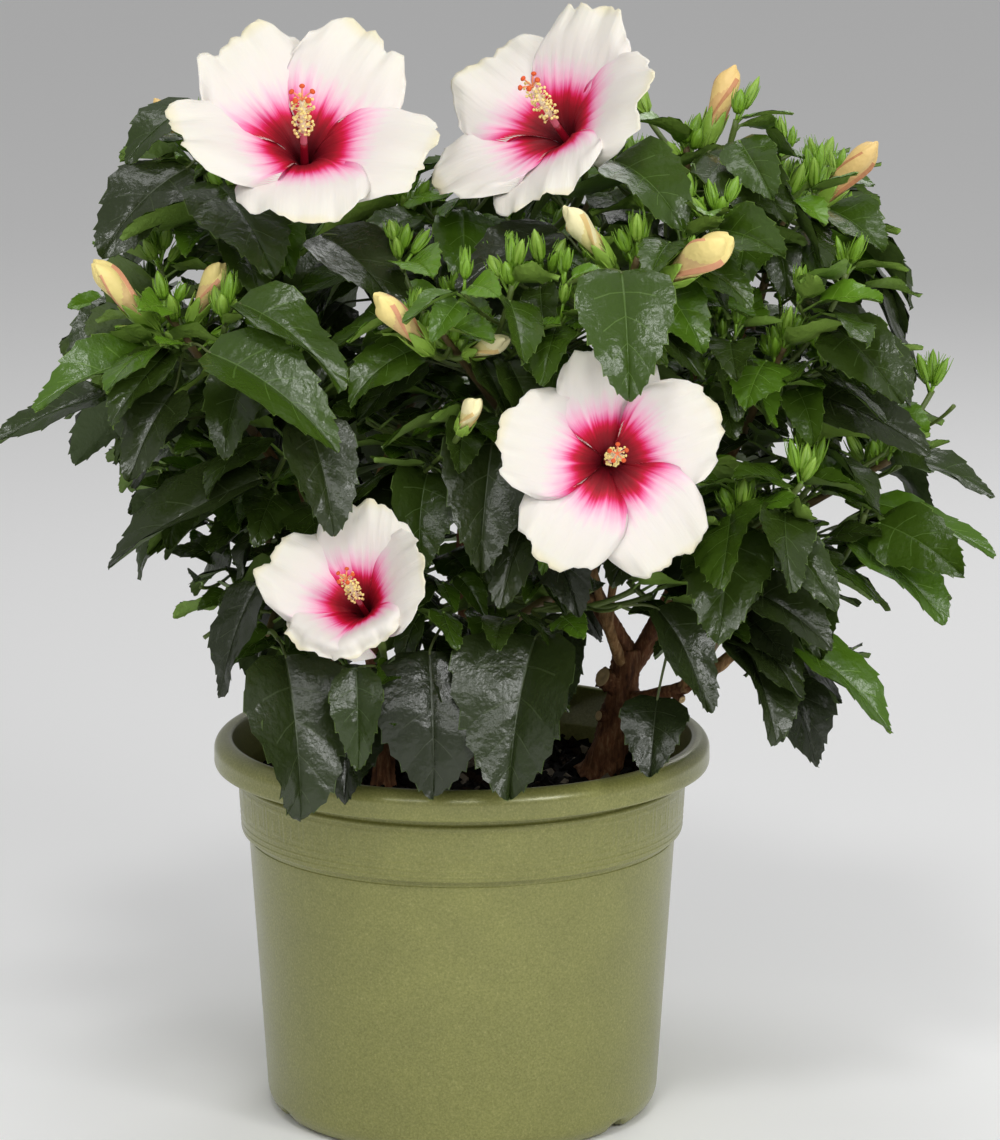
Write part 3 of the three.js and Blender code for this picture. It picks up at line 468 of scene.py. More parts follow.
def cut_stub(foot, along, radius, length):
    """A pruned stub with a pale, slightly dished cut end."""
    curve = Bezier(foot, foot + along * length)
    relief = bark_relief(radius, int(foot[0] * 7) & 255, length)
    bark.add_tube(rings(curve, lambda s: radius * (1.15 - 0.15 * s), 22, 8, 0, 1, relief))
    side, rise = across(along)
    dish = ((0.98, 0.05), (0.9, 0.35), (0.55, 0.25), (0.22, 0.1), (0.12, -0.5))
    bark.add_tube(np.array([hoop(curve.point(1) + along * depth, turns(22), radius * share, side, rise)
                            for share, depth in dish]), 1)


def pale_limb(k, start, bend, end, radii):
    """A young limb with pale bark, cut short, that forks off near the trunk's fork."""
    curve = Bezier(start, vec(*bend), vec(*end))
    radius = taper(*radii)
    boughs.add_tube(rings(curve, radius, 14, 34, 0, 1, bark_relief(radius, 240 + k, curve.length)))
    room.put("limb", coarse_tube(curve, radius, 5, 3))
    return curve


trunk = ways["trunk"]
first_pale = pale_limb(0, trunk.point(0.84), (75, -8, 246), (64, -28, 296), (3.2, 2.1))
pale_limb(1, first_pale.point(0.46), (74, -14, 268), (82, -30, 304), (2.5, 1.7))
for limb, share, along, radius, length in (
        ("trunk", 0.72, (-0.75, -0.55, 0.5), 5.2, 15), ("trunk", 0.5, (-0.8, -0.6, 0.25), 2.6, 12),
        ("limb_right", 0.16, (0.35, -0.5, 0.8), 3.4, 17), ("limb_low", 0.45, (0.4, -0.6, -0.2), 2.0, 10)):
    cut_stub(ways[limb].point(share), unit(vec(*along)), radius, length)

# ---- Pot and mix ----


def rounded(points, steps=4):
    """Straight [radius, height] runs joined by small round corners."""
    pts = [np.array(p, float) for p in points]
    out = [pts[0]]
    for a, b, c in zip(pts, pts[1:], pts[2:]):
        cut = min(1.1, 0.45 * norm(b - a), 0.45 * norm(c - b))
        p, q = b + unit(a - b) * cut, b + unit(c - b) * cut
        for t in np.arange(steps) / (steps - 1):
            out.append((1 - t) ** 2 * p + 2 * t * (1 - t) * b + t * t * q)
    out.append(pts[-1])
    return np.array(out)


def pot_profile():
    """The outside from the foot's middle to the rim, then the inside down to the floor's middle."""
    height, wall, floor, foot, corner = (POT[k] for k in ("height", "wall", "floor", "foot", "corner"))
    corner_z, body, body_z, curl = (POT[k] for k in ("corner_height", "body", "body_height", "rim_round"))
    (low, low_z), (high, high_z), (lip, lip_z) = POT["collar_low"], POT["collar_high"], POT["lip"]
    base = [(0, 0.9), (foot - 9, 0.9), (foot - 7, 0), (foot, 0)]
    base += [(foot + (corner - foot) * sin(a), corner_z * (1 - cos(a))) for a in np.radians([20, 40, 60, 78])]
    groove = [(body + a, body_z + b) for a, b in ((0.1, 3.1), (-0.2, 3.3), (-1.8, 3.6), (-1.8, 6.3))]
    collar = [(low - 0.6, low_z - 0.6), (low, low_z + 0.5), (high - 0.3, high_z - 4.6), (high - 1.7, high_z - 4.0),
              (high - 1.7, high_z)]
    rim = [(lip - 5.5, lip_z - 0.2), (lip - 0.6, lip_z - 0.5), (lip, lip_z + 1.5), (lip - 0.1, lip_z + 5.5)]
    rolled = np.radians([8, 22, 36, 50, 64, 78, 90])
    rim += [(lip - curl + curl * cos(a), height - curl + curl * sin(a)) for a in rolled]
    rim += [(lip - 9.2, height - 0.6), (lip - POT["rim_width"], height - 3)]
    inside = [(high - wall, high_z - 4), (low - wall, low_z), (body - wall, body_z - 2), (corner - wall, corner_z + 2),
              (foot - wall, floor), (0, floor)]
    return rounded(base + [(corner, corner_z + 0.5), (body, body_z)] + groove + collar + rim + inside)


def lathe(pile, profile, sides, shape=lambda r, z, angles: (r, z)):
    angles = turns(sides)
    r, z = shape(*(np.broadcast_to(profile[:, k:k + 1], (len(profile), sides)) for k in (0, 1)), angles)
    pile.add(np.stack([r * np.cos(angles), r * np.sin(angles), z], -1), ring_faces(len(profile) - 1, sides))


def drained(r, z, angles):
    """Shallow drainage scallops in the foot's edge."""
    step = 2 * pi / POT["drains"]
    off = (angles - radians(POT["drain_turn"]) + step / 2) % step - step / 2
    dent = np.exp(-((off * POT["foot"] / 6.0) ** 4))
    low = np.clip((7.5 - z) / 7.5, 0, 1) * (r > POT["foot"] - 12)
    return r, z + dent * low * POT["drain_height"]


def fret(pile):
    """A low Greek-key band between thin beads, moulded round the collar."""
    units, top, low, width, height = 46, 171.0, 155.5, 0.11, 0.12
    path = [(0, 0), (0, 1), (0.8, 1), (0.8, 0.25), (0.4, 0.25), (0.4, 0.62)]

    def radius_at(z):
        (r0, z0), (r1, z1) = POT["collar_low"], POT["collar_high"]
        return mix(r0, r1, (z - z0) / (z1 - z0))

    def bar(start, end, k):
        (x0, x1), (y0, y1) = sorted((start[0], end[0])), sorted((start[1], end[1]))
        n = 3 if x1 != x0 else 2
        verts = []
        for h, pad in ((-0.06, width / 2 + 0.045), (height if n == 3 else height * 0.7, width / 2 - 0.02)):
            for y in (y0 - pad, y1 + pad):
                z = mix(low, top, y)
                r = radius_at(z) + h
                for x in np.linspace(x0 - pad, x1 + pad, n):
                    a = (k + x) * 2 * pi / units
                    verts.append((r * cos(a), r * sin(a), z))
        g = np.arange(4 * n).reshape(4, n)
        quads = [(g[p, i], g[p, i + 1], g[q, i + 1], g[q, i])
                 for i in range(n - 1) for p, q in ((2, 3), (0, 2), (3, 1), (1, 0))]
        quads += [(g[0, 0], g[2, 0], g[3, 0], g[1, 0]), (g[1, -1], g[3, -1], g[2, -1], g[0, -1])]
        pile.add(verts, quads)

    for k in range(units):
        for start, end in zip(path, path[1:]):
            bar(start, end, k)
        bar((0, 0), (1, 0), k)
    bead = ((-0.2, -0.9), (0.09, -0.45), (0.16, 0), (0.09, 0.45), (-0.2, 0.9))
    for z in (149.2, 152.2, 174.4):
        lathe(pile, np.array([(radius_at(z) + dr, z + dz) for dr, dz in bead]), 144)


def rough_ground():
    """Crumbly potting mix: a lumpy disc with chips and grains of bark on it."""
    soil = Pile()
    draw = seeded(5)
    waves = [(mix(0.05, 0.5, draw()), draw() * ANY_PHASE, draw() * ANY_PHASE, mix(0.25, 0.9, draw()))
             for _ in range(26)]
    reach = POT["body"] + 1.8
    r, a = np.meshgrid(np.linspace(0, reach, 58), turns(150), indexing="ij")
    x, y = r * np.cos(a), r * np.sin(a)
    z = np.full_like(x, SOIL_HEIGHT - 0.6)
    for f, turn, phase, h in waves:
        z += 0.42 * h * np.sin(f * (x * cos(turn) + y * sin(turn)) + phase)
    soil.add(np.stack([x, y, z], -1), ring_faces(57, 150))
    corners = np.array([(sx, sy, sz) for sx in (-1, 1) for sy in (-1, 1) for sz in (-1, 1)], float)
    faces = [(0, 1, 3, 2), (4, 6, 7, 5), (0, 4, 5, 1), (2, 3, 7, 6), (0, 2, 6, 4), (1, 5, 7, 3)]
    for _ in range(1500):
        r, a = sqrt(draw()) * (reach - 3), draw() * 2 * pi
        size = mix(0.7, 2.6, draw() ** 2.2)
        centre = vec(r * cos(a), r * sin(a), SOIL_HEIGHT - 0.3 + draw() * 0.9)
        axes = np.array([unit(vec(draw() - 0.5, draw() - 0.5, draw() - 0.5)) for _ in range(3)])
        chip = corners * np.array([size * mix(1, 2.6, draw()), size, size * 0.6])
        chip *= 1 + 0.3 * np.array([[draw() - 0.5] for _ in range(8)])
        q, _ = np.linalg.qr(axes)
        soil.add(centre + chip @ q, faces, None, 1 if draw() < 0.3 else (2 if draw() < 0.06 else 0))
    return soil


pot, fret_pile = Pile(), Pile()
lathe(pot, pot_profile(), 192, drained)
fret(fret_pile)
soil = rough_ground()
POT_HULL = ((101, 12), (109.2, 140), (115.2, 180), (127.4, 181), (125.5, 194), (121, 196.4), (116.5, 194), (110.5, 150))
for hull, sides in ((POT_HULL, 32), (((0.1, SOIL_HEIGHT + 1.5), (110, SOIL_HEIGHT + 1.5)), 24)):
    room.put("pot", tube_tris(np.array([[(r * cos(a), r * sin(a), z) for a in turns(sides)] for r, z in hull])))

# ---- Blooms ----


def petal_angle(u, open_):
    return mix(14, open_, smooth(u / 0.42)) + 14 * np.maximum(0, u - 0.6) / 0.4


def petal_line(u, open_, size, steps=12):
    """Distance from the axis and height along it at share u of a petal's length; u is an array."""
    out, height = np.full_like(u, 1.0 * size), np.zeros_like(u)
    for i in range(steps):
        a = np.radians(petal_angle((i + 0.5) / steps * u, open_))
        out += np.sin(a) * PETAL_LENGTH * size * u / steps
        height += np.cos(a) * PETAL_LENGTH * size * u / steps
    return out, height


def bloom_frame(b):
    axis = unit(vec(*b["faces"]))
    side, rise = across(axis)
    return vec(*b["throat"]) - axis * THROAT_HEIGHT * b["size"], rise, side, axis


def petal_surface(b, k, draw, rows, cols):
    """One petal's middle surface in the bloom's own frame."""
    size, open_ = b["size"], b["open"]
    a, c = np.meshgrid(np.linspace(0, 1, rows + 1), np.linspace(-1, 1, cols + 1), indexing="ij")
    scallop = 0.026 * np.sin(c * mix(5, 7, draw()) + draw() * ANY_PHASE)
    scallop += 0.018 * np.sin(c * mix(12, 16, draw()) + draw() * ANY_PHASE)
    scallop += 0.01 * np.sin(c * 29 + draw() * ANY_PHASE)
    lean = mix(-0.07, 0.07, draw())
    u = a * (1 - 0.42 * (1 - (1 - np.abs(c) ** 2.6) ** 0.5) + lean * c * a + scallop * smooth((a - 0.6) / 0.4))
    u = np.minimum(u, 1.02)
    tilt = (draw() - 0.5) * 8
    out, height = petal_line(u, open_ + tilt, size)
    half = size * mix(3.2, mix(27.5, 31, draw()), smooth(a / 0.72))
    lateral = c * half
    round_ = 1 - smooth((u - 0.12) / 0.5)
    phi = np.clip(lateral / out, -0.78, 0.78)
    x = mix(out, out * np.cos(phi), round_)
    y = mix(lateral, out * np.sin(phi), round_)
    lift = c * 2.6 * size * smooth(u / 0.5)
    edge, rim = np.abs(c) ** 3, smooth((a - 0.55) / 0.45)
    p1, p2, p3, p4 = (draw() * ANY_PHASE for _ in range(4))
    ruffle = size * (1.5 * rim * np.sin(5.2 * c + p1) + 1.1 * rim ** 2 * np.sin(11 * c + p2)
                     + edge * (1.3 * np.sin(9 * a + p3) + 0.8 * np.sin(19 * a + p4)) * smooth(a / 0.4)
                     + 0.5 * rim ** 3 * np.sin(23 * c + p3))
    ribs = 0.18 * np.sin(c * 26 + 2 * np.sin(a * 5)) * smooth(u / 0.3) * (1 - 0.5 * rim)
    curl = -1.6 * size * rim ** 2 * (1 + 0.6 * np.sin(3 * c + p2))
    z = height + lift + ruffle + ribs + curl + 2.0 * size * c ** 2 * smooth(u / 0.5) * mix(1, -0.6, rim)
    if open_ < HALF_OPEN and k in (2, 3):
        # the lowest petals of a half open bloom fold back at their rims
        z = z - 15 * size * rim ** 1.6
        x = x - 9 * size * rim ** 2
    turn = radians(b["turn"] + 36 + 72 * k + (draw() - 0.5) * 8)
    return np.stack([x * cos(turn) - y * sin(turn), x * sin(turn) + y * cos(turn), z], -1), u, c


def petal_uv(cell, u, c):
    """A petal's place on the texture sheet, which has four by three cells."""
    return np.stack([(cell % 4 + 0.04 + 0.92 * (c + 1) / 2) / 4, (cell // 4 + 0.04 + 0.92 * u) / 3], -1).reshape(-1, 2)


def make_petals(name, b, seed, rows=38, cols=28):
    pile, uvs = Pile(), []
    draw = seeded(seed)
    foot, x, y, z = bloom_frame(b)
    share = np.linspace(0, 1, rows + 1)[:, None]
    n, stride = (rows + 1) * (cols + 1), cols + 1
    rim = [r * stride for r in range(rows + 1)] + [rows * stride + q for q in range(1, stride)]
    rim += [r * stride + cols for r in range(rows - 1, -1, -1)]
    edge = np.array([(p, q, q + n, p + n) for p, q in zip(rim, rim[1:])])
    quads = grid_faces(rows, cols)
    for k in range(PETALS):
        local, u, c = petal_surface(b, k, draw, rows, cols)
        top = foot + local[..., :1] * x + local[..., 1:2] * y + local[..., 2:] * z
        normal = np.cross(np.gradient(top, axis=1), np.gradient(top, axis=0))
        normal /= np.maximum(norm(normal, axis=-1, keepdims=True), 1e-9)
        body = 0.55 * np.minimum(1, 6 * (1 - np.abs(c))) * np.minimum(1, 6 * (1 - share))
        under = top - normal * (body + 0.02)[..., None]
        # the eye shows only faintly on the back of a petal
        values = dict(pu=np.concatenate([0.47 + 0.53 * u.reshape(-1), u.reshape(-1)]), pc=np.tile(c.reshape(-1), 2),
                      pp=np.full(2 * n, draw() * 50))
        pile.add([top, under], np.vstack([quads, quads[:, ::-1] + n, edge[:, ::-1]]), **values)
        a = np.broadcast_to(share, u.shape)
        uvs += [petal_uv(k, a, c), petal_uv(k + PETALS, a, c)]
        coarse = top[[0, 8, 15, 22, 28, 33, 38]][:, [0, 4, 9, 14, 19, 24, 28]]
        room.put(name, halves(coarse.reshape(-1, 3), grid_faces(6, 6)))
    petal_piles[name] = (pile, np.vstack(uvs))


def ball(pile, centre, along, radius, stretch, mat, sides, rows):
    side, rise = across(along)
    pile.add_tube(np.array([hoop(centre - along * cos(t) * radius * stretch, turns(sides), sin(t) * radius, side, rise)
                            for t in np.linspace(0.12, pi - 0.12, rows)]), mat)


def make_column(b, seed):
    """The column of the bloom: a pale tube that reddens at its foot, anthers in its upper half, five knobs."""
    draw = seeded(seed)
    foot, _, _, axis = bloom_frame(b)
    size = b["size"]
    curve = Bezier(foot, foot + axis * 24 * size, foot + axis * COLUMN_LENGTH * size + UP * 5 * size)
    for mat, s0, s1 in ((0, 0.0, 0.42), (1, 0.42, 0.56), (2, 0.56, 0.93)):
        hearts.add_tube(rings(curve, lambda s: mix(1.9, 1.1, mix(s0, s1, s)) * size, 12, 8, s0, s1 + 0.004), mat)
    for i in range(70):
        t = mix(0.52, 0.95, (i + draw()) / 70)
        along = curve.tangent(t)
        out = unit(spoke(*across(along), i * 2.4 + draw()) + along * mix(-0.1, 0.5, draw()))
        root = curve.point(t)
        tip = root + out * (mix(2.6, 5.0, draw()) * size)
        hearts.add_tube(rings(Bezier(root, tip), 0.16, 4, 1), 3)
        ball(hearts, tip, out, 0.84 * size, 0.8, 4, 7, 4)
    for i in range(PETALS):
        out = unit(spoke(*across(axis), i * 1.2566 + 0.3) + axis * 0.95)
        root = curve.point(0.925)
        tip = root + out * 6.4 * size
        hearts.add_tube(rings(Bezier(root, root + axis * 2.4 * size, tip), 0.42, 6, 4), 5)
        ball(hearts, tip, out, 1.35 * size, 0.75, 6, 10, 6)
    room.put("column", coarse_tube(curve, 4.5, 5, 3, 0.3, 1))


def claws(pile, foot, axis, size, mat, long, count=7):
    """Narrow bracts that stand round a calyx."""
    side, rise = across(axis)
    for i in range(count):
        out = spoke(side, rise, i * 2 * pi / count + 0.4)
        base = foot + out * 1.2 * size
        curve = Bezier(*(base + out * far * size + axis * up * size
                         for far, up in ((0, 0), (4.2, 1.5), (5.2, long * 0.7), (4.0, long))))
        pile.add_tube(rings(curve, lambda s: 0.8 * size * (1 - s) ** 0.7 + 0.12, 3, 3), mat)


def sepals(pile, foot, axis, size, spread, mat, long=15.0, wide=5.2, sides=30, rows=9):
    """A five-pointed calyx cup with seven narrow bracts below it."""
    side, rise = across(axis)
    a = turns(sides)
    point = 0.5 + 0.5 * np.cos(5 * a)
    grid = []
    for t in np.arange(rows + 1) / rows:
        h = long * size * t * mix(1, mix(0.55, 1.0, point ** 0.8), smooth((t - 0.35) / 0.65))
        r = size * (1.6 + wide * np.sin(min(1, t * 1.4) * pi / 2) + spread * t * t * 3.2 * point)
        grid.append(hoop(foot - axis * 3 * size + np.outer(h, axis), a, r, side, rise))
    outer = np.array(grid)
    centre = foot + axis * long * size * 0.4
    inner = centre + (outer[::-1] - centre) * 0.94
    pile.add_tube(np.concatenate([outer, inner]), mat)
    claws(pile, foot - axis * 2.6 * size, axis, size, mat, long * 0.85)


def spiral_bud(pile, foot, along, length, radius, mats, draw, folds=3, sides=39, rows=24):
    """Furled petals: overlapping folds that wind round the bud."""
    side, rise = across(along)
    a, i = turns(sides), np.arange(sides)
    saw = (i * folds / sides) % 1.0
    phase = draw() * ANY_PHASE
    pts = []
    for t in np.arange(rows + 1) / rows:
        body = np.interp(t, (0, 0.12, 0.3, 0.5, 0.68, 0.8, 0.9, 0.96, 1),
                         (0.42, 0.55, 0.66, 0.82, 0.97, 1, 0.88, 0.68, 0.4))
        turned = a - phase - 2.2 * t
        r = radius * body * (1 + (saw ** 1.3) * 0.34 * smooth(t * 2.2) - 0.15)
        wobble = 1.8 * smooth((t - 0.7) / 0.3) * np.sin(2 * turned + phase)
        pts.append(hoop(foot + np.outer(length * t + wobble, along), turned, r, side, rise))
    pts = np.array(pts)
    row_of = np.repeat(np.arange(rows), sides)
    w = ((np.tile(i, rows) + 0.5) * folds / sides) % 1.0
    # each petal's edge is warmer in tint, with painted shade darkening it where it winds over the next, and the tip is
    # paler
    tip_or_body = np.where(row_of > rows * (0.74 - 0.4 * w), mats[1], mats[0])
    face_mats = np.where((w > 0.84) & (row_of < rows * 0.85), mats[2], tip_or_body)
    pile.add(pts, ring_faces(rows, sides), None, face_mats)
    after, middle = (i + 1) % sides, np.full(sides, sides)
    pile.add(np.vstack([pts[0], pts[0].mean(0)]), None, np.stack([after, i, middle], 1), mats[0])
    pile.add(np.vstack([pts[-1], pts[-1].mean(0) + along * 1.2]), None, np.stack([i, after, middle], 1), mats[1])


petal_piles, hearts, greens, buds, stalks = {}, Pile(), Pile(), Pile(), Pile()
for k, (name, b) in enumerate(BLOOMS.items()):
    make_petals(name, b, 400 + k)
    make_column(b, 500 + k)
    foot, _, _, axis = bloom_frame(b)
    sepals(greens, foot, axis, b["size"], 0.5, 1)
    mass, share = b["on"]
    start = ways[mass].point(mix(BOUGH_SHARE, 1, share))
    reach = norm(foot - start)
    flat = (foot - start) * vec(1, 1, 0)
    curve = Bezier(start, start + unit(flat) * reach * 0.35, foot - axis * reach * 0.35, foot + axis * 2)
    stalks.add_tube(rings(curve, lambda s: mix(1.4, 1.9, s) + 0.5 * exp(-((s - 0.72) * 26) ** 2), 10, 40))
    room.put(name, coarse_tube(curve, 2.0, 4, 4, 0.1, 1))

# ---- Shoots and buds ----

LEADING, SIDE, FINE = 0, 1, 2


@dataclass
class Shoot:
    mass: str
    curve: Bezier
    start: float
    length: float
    radius: tuple
    turn: float
    buds: int
    seed: int
    leaves: int
    kind: int

    def at(self, share):
        return self.curve.point(mix(self.start, 1, share))


def mass_shoots(name):
    limb, share, crest, count, buds_, turn, droop, seed = MASSES[name]
    curve = ways[name]
    draw, fine = seeded(seed), seeded(seed * 7 + 1)
    ahead = heading_of(curve.tangent(1))
    shoots = [Shoot(name, curve, BOUGH_SHARE + GAP / curve.length, curve.length * (1 - BOUGH_SHARE), SHOOT_RADIUS,
                    turn, buds_, seed, 13, LEADING)]

    def sprout(origin, heading, reach, pitch, lift, *rest):
        end = origin + direction(heading, pitch + lift) * reach
        curve = Bezier(origin, origin + direction(heading, pitch) * reach * 0.55, end)
        shoots.append(Shoot(name, curve, 0, reach, *rest))

    for i in range(count):
        origin = curve.point(mix(BOUGH_SHARE, 1, mix(0.12, 0.62, (i + draw()) / count)))
        side = (-1 if i % 2 else 1) * mix(55, 105, draw())
        reach, pitch = mix(46, 74, draw()), mix(8, 44, draw()) - droop
        sprout(origin, ahead + side, reach, pitch, 16, SIDE_SHOOT_RADIUS, ahead + side + 90 * draw(),
               buds_ // 2, seed * 10 + i, 8, SIDE)
    for parent in list(shoots):
        for i in range(4 if parent.kind == LEADING else 2):
            s = mix(0.2, 0.7, fine())
            base = heading_of(parent.curve.tangent(mix(parent.start, 1, s)))
            side = (-1 if (i + parent.kind) % 2 else 1) * mix(45, 120, fine())
            reach, pitch = mix(24, 42, fine()), mix(-5, 45, fine()) - droop
            sprout(parent.at(s), base + side, reach, pitch, 14, (1.0, 1.2), base + side + 90 * fine(),
                   1 if buds_ > 3 else 0, seed * 100 + len(shoots), 5, FINE)
    low = LOW_TWIGS.get(name, 0)
    for i in range(low):
        origin = curve.point(mix(0.16, 0.54, (i + fine()) / low))
        out = direction(ahead + (-1 if i % 2 else 1) * mix(12, 75, fine()), mix(-34, -10, fine()))
        reach = mix(38, 58, fine())
        hanging = Bezier(origin, origin + out * reach * 0.5 + UP * 5, origin + out * reach)
        shoots.append(Shoot(name, hanging, 0, reach, (1.1, 1.3), 360 * fine(), 0, seed * 100 + 60 + i, 6, FINE))
    return shoots


shoots, twigs = {}, Pile()
for name in MASSES:
    shoots[name] = []
    for shoot in mass_shoots(name):
        foot, tip = shoot.radius
        coarse = coarse_tube(shoot.curve, taper(foot + 0.3, tip + 0.3), 3, 2, shoot.start, 1)
        if shoot.kind and not room.clear(coarse, skip=("m:" + name, "bough_" + name)):
            continue
        surface = lambda s: mix(foot, tip, s) * 0.82 + 0.22 * sin(s * shoot.length * 0.9) ** 8
        sides, steps = 7 if shoot.kind else 9, max(6, int(shoot.length / 4))
        twigs.add_tube(rings(shoot.curve, surface, sides, steps, shoot.start, 1), min(shoot.kind, 1))
        room.put("m:" + name, coarse)
        shoots[name].append(shoot)


def large_bud(name, mass, tip, length, warmth, seed):
    crest, end = ways[mass].point(0.94), vec(*tip)
    along = unit(unit(end - crest) + vec(0, 0, 0.25))
    foot = end - along * length
    stalks.add_tube(rings(Bezier(crest, foot - along * 12, foot), taper(1.2, 1.6), 8, 16))
    size = (length / 46) ** 0.5
    plump = 1.3 if name == "bud_open" else 1
    sepals(greens, foot + along * 1.5, along, size, 0.16, 1, length * 0.54 / size, 4.4 * plump)
    tint = 0 if warmth < 0.3 else (3 if warmth < 0.65 else 6)
    spiral_bud(buds, foot + along, along, length - 1.0, 6.3 * size * plump, (tint, tint + 1, tint + 2), seeded(seed))
    room.put("large", coarse_tube(Bezier(foot, end), 5.5, 5, 2))
    if tip[1] < 0:
        # the furled buds of the front stay in sight
        ahead = vec(0, -45, 9)
        room.put_sheet(foot, end, end + ahead, foot + ahead)


for k, (name, row) in enumerate(LARGE_BUDS.items()):
    large_bud(name, *row, 600 + k)


def green_bud(foot, along, stalk, length, radius, draw, sides=10, rows=6):
    """A young bud: a ribbed pointed calyx in a claw of narrow bracts."""
    base = foot + along * stalk
    stalks.add_tube(rings(Bezier(foot, base), 0.8, 6, 2), 1)
    side, rise = across(along)
    a = turns(sides)
    pts = []
    for t in np.arange(rows + 1) / rows:
        r = radius * sin(pi * min(1, 0.18 + 0.82 * t)) ** 0.75 * (1 + 0.13 * np.cos(5 * a)) if t < 1 else 0.15
        pts.append(hoop(base + along * length * t, a, r, side, rise))
    greens.add_tube(np.array(pts), 0 if draw() < 0.6 else 1)
    size = radius / 4.4
    claws(greens, base, along, size, 0, length / size * mix(0.75, 1.1, draw()))


def rosette(shoot):
    draw = seeded(shoot.seed * 31 + 7)
    small = 0.75 if shoot.kind == FINE else 1
    for i in range(shoot.buds + (4, 2, 1)[shoot.kind] if shoot.buds else 0):
        along = direction(i * GOLDEN_TURN + shoot.turn, mix(76, 26, i / 10) + (draw() - 0.5) * 16)
        foot = shoot.curve.point(1 - min(0.3, (0.5 + 1.3 * i) / shoot.length))
        stalk, length = mix(4, 11, draw()), mix(10, 18, draw()) * small
        line = coarse_tube(Bezier(foot + along * 4, foot + along * (stalk + length)), 2.6, 4, 1)
        if room.clear(line, skip=("m:" + shoot.mass,)):
            green_bud(foot, along, stalk, length, mix(2.3, 3.3, draw()) * small, draw)
            room.put("m:" + shoot.mass, line)


all_shoots = [shoot for name in MASSES for shoot in shoots[name]]
for shoot in all_shoots:
    rosette(shoot)

# ---- Leaves: where they grow ----

LEAF = dict(length=86, width=0.6, fold=15)
leaves = []


def habit_of(i, draw, droop, kind):
    """How the leaf at the shoot's node i stands; the newest leaf is 0."""
    h = dict(
        petiole_pitch=max(48 - 9 * i, 0) + (draw() - 0.5) * 20,
        start=max(22 - 15 * i, -34) - droop + (draw() - 0.5) * 38,
        curl=min(24 + 6 * i, 46) + (draw() - 0.5) * 30,
        roll=(draw() - 0.5) * 76,
        length=LEAF["length"] * min(1, 0.38 + 0.15 * i) * mix(0.8, 1.12, draw()) * (1.04, 0.96, 0.84)[kind],
        petiole=min(7 + 4.5 * i, 28) * mix(0.8, 1.2, draw()),
        age=i,
    )
    h["width"] = h["length"] * LEAF["width"] * mix(0.9, 1.1, draw())
    h["extra"] = [draw() for _ in range(8)]
    return h


def blade_point(root, turn, h, u, v, lift=0.0):
    heading = direction(turn, 0)
    level = vec(heading[1], -heading[0], 0)
    curl, pitch, roll, fold = (radians(x) for x in (h["curl"], h["start"], h["roll"], LEAF["fold"]))
    now = pitch - curl * u
    forward = h["length"] * (sin(pitch) - sin(now)) / curl
    upward = h["length"] * (cos(now) - cos(pitch)) / curl
    top = np.cross(level, heading * cos(now) + UP * sin(now))
    side, normal = level * cos(roll) + top * sin(roll), top * cos(roll) - level * sin(roll)
    half = np.interp(u, (0, 0.3, 0.68, 1), (0, 0.95, 0.72, 0)) * h["width"] / 2
    place = root + heading * forward + UP * upward
    return place + side * v * half * cos(fold) + normal * (abs(v) * half * sin(fold) + lift)


LEAF_FACES = np.array([
    (1, 2, 9), (2, 5, 9), (5, 7, 9), (7, 8, 9), (8, 6, 9), (6, 4, 9), (4, 1, 9), (2, 1, 0), (1, 3, 0),
    (5, 2, 3), (5, 3, 10), (7, 5, 10), (8, 7, 10), (6, 8, 10), (4, 6, 10), (4, 10, 3), (1, 4, 3), (3, 2, 0)])


def leaf_root(node, turn, h):
    return h["root"] if "root" in h else node + direction(turn, h["petiole_pitch"]) * h["petiole"]


def coarse_leaf(node, turn, h, swell, cut=0.0):
    root = leaf_root(node, turn, h)
    level = vec(sin(radians(turn)), -cos(radians(turn)), 0)
    r, half = 1.0 + swell, 0.65 + swell
    ring = [root - level * r, root + level * r, root + direction(turn, h["start"] - 90) * r]
    blade = [blade_point(root, turn, h, *uv) for uv in (
        (0.3, -1), (0.3, 1), (0.68, -1), (0.68, 1), (1, 0), (0.42, 0, half), (0.42, 0, -half))]
    return np.array([mix(node, root, cut), *ring, *blade])[LEAF_FACES]


def in_crown(points):
    z = points[:, 2]
    if (z < CROWN[0, 0]).any() or (z > CROWN[-1, 0]).any():
        return False
    left, right, depth = (np.interp(z, CROWN[:, 0], CROWN[:, k]) for k in (1, 2, 3))
    return bool(((points[:, 0] >= left) & (points[:, 0] <= right) & (np.abs(points[:, 1]) <= depth)).all())


# how far a leaf turns aside to find free room, and what share of its size it keeps
TRIES = ((0, 1), (22, 1), (-22, 1), (44, 1), (-44, 1), (66, 0.9), (-66, 0.9), (0, 0.78), (30, 0.78), (-30, 0.78),
         (0, 0.6), (50, 0.6), (-50, 0.6))


def add_leaf(shoot, node, turn, h):
    for aside, share in TRIES:
        sized = dict(h, length=h["length"] * share, width=h["width"] * share)
        body = coarse_leaf(node, turn + aside, sized, 0.35)
        if (in_crown(body.reshape(-1, 3)) and room.clear(body, skip=("m:" + shoot.mass, "bough_" + shoot.mass))
                and room.clear(coarse_leaf(node, turn + aside, sized, 0.35, 0.55))):
            leaves.append((shoot, node, turn + aside, sized))
            room.put("leaf", coarse_leaf(node, turn + aside, sized, 0.0, 0.3))
            return


# The trunk and its fork stay in sight: sheets from front to back, at these places from the left to the right
for x in (56, 66, 76):
    room.put_sheet(vec(x, -175, 196), vec(x, -24, 196), vec(x + 6, -24, 306), vec(x + 6, -175, 306))

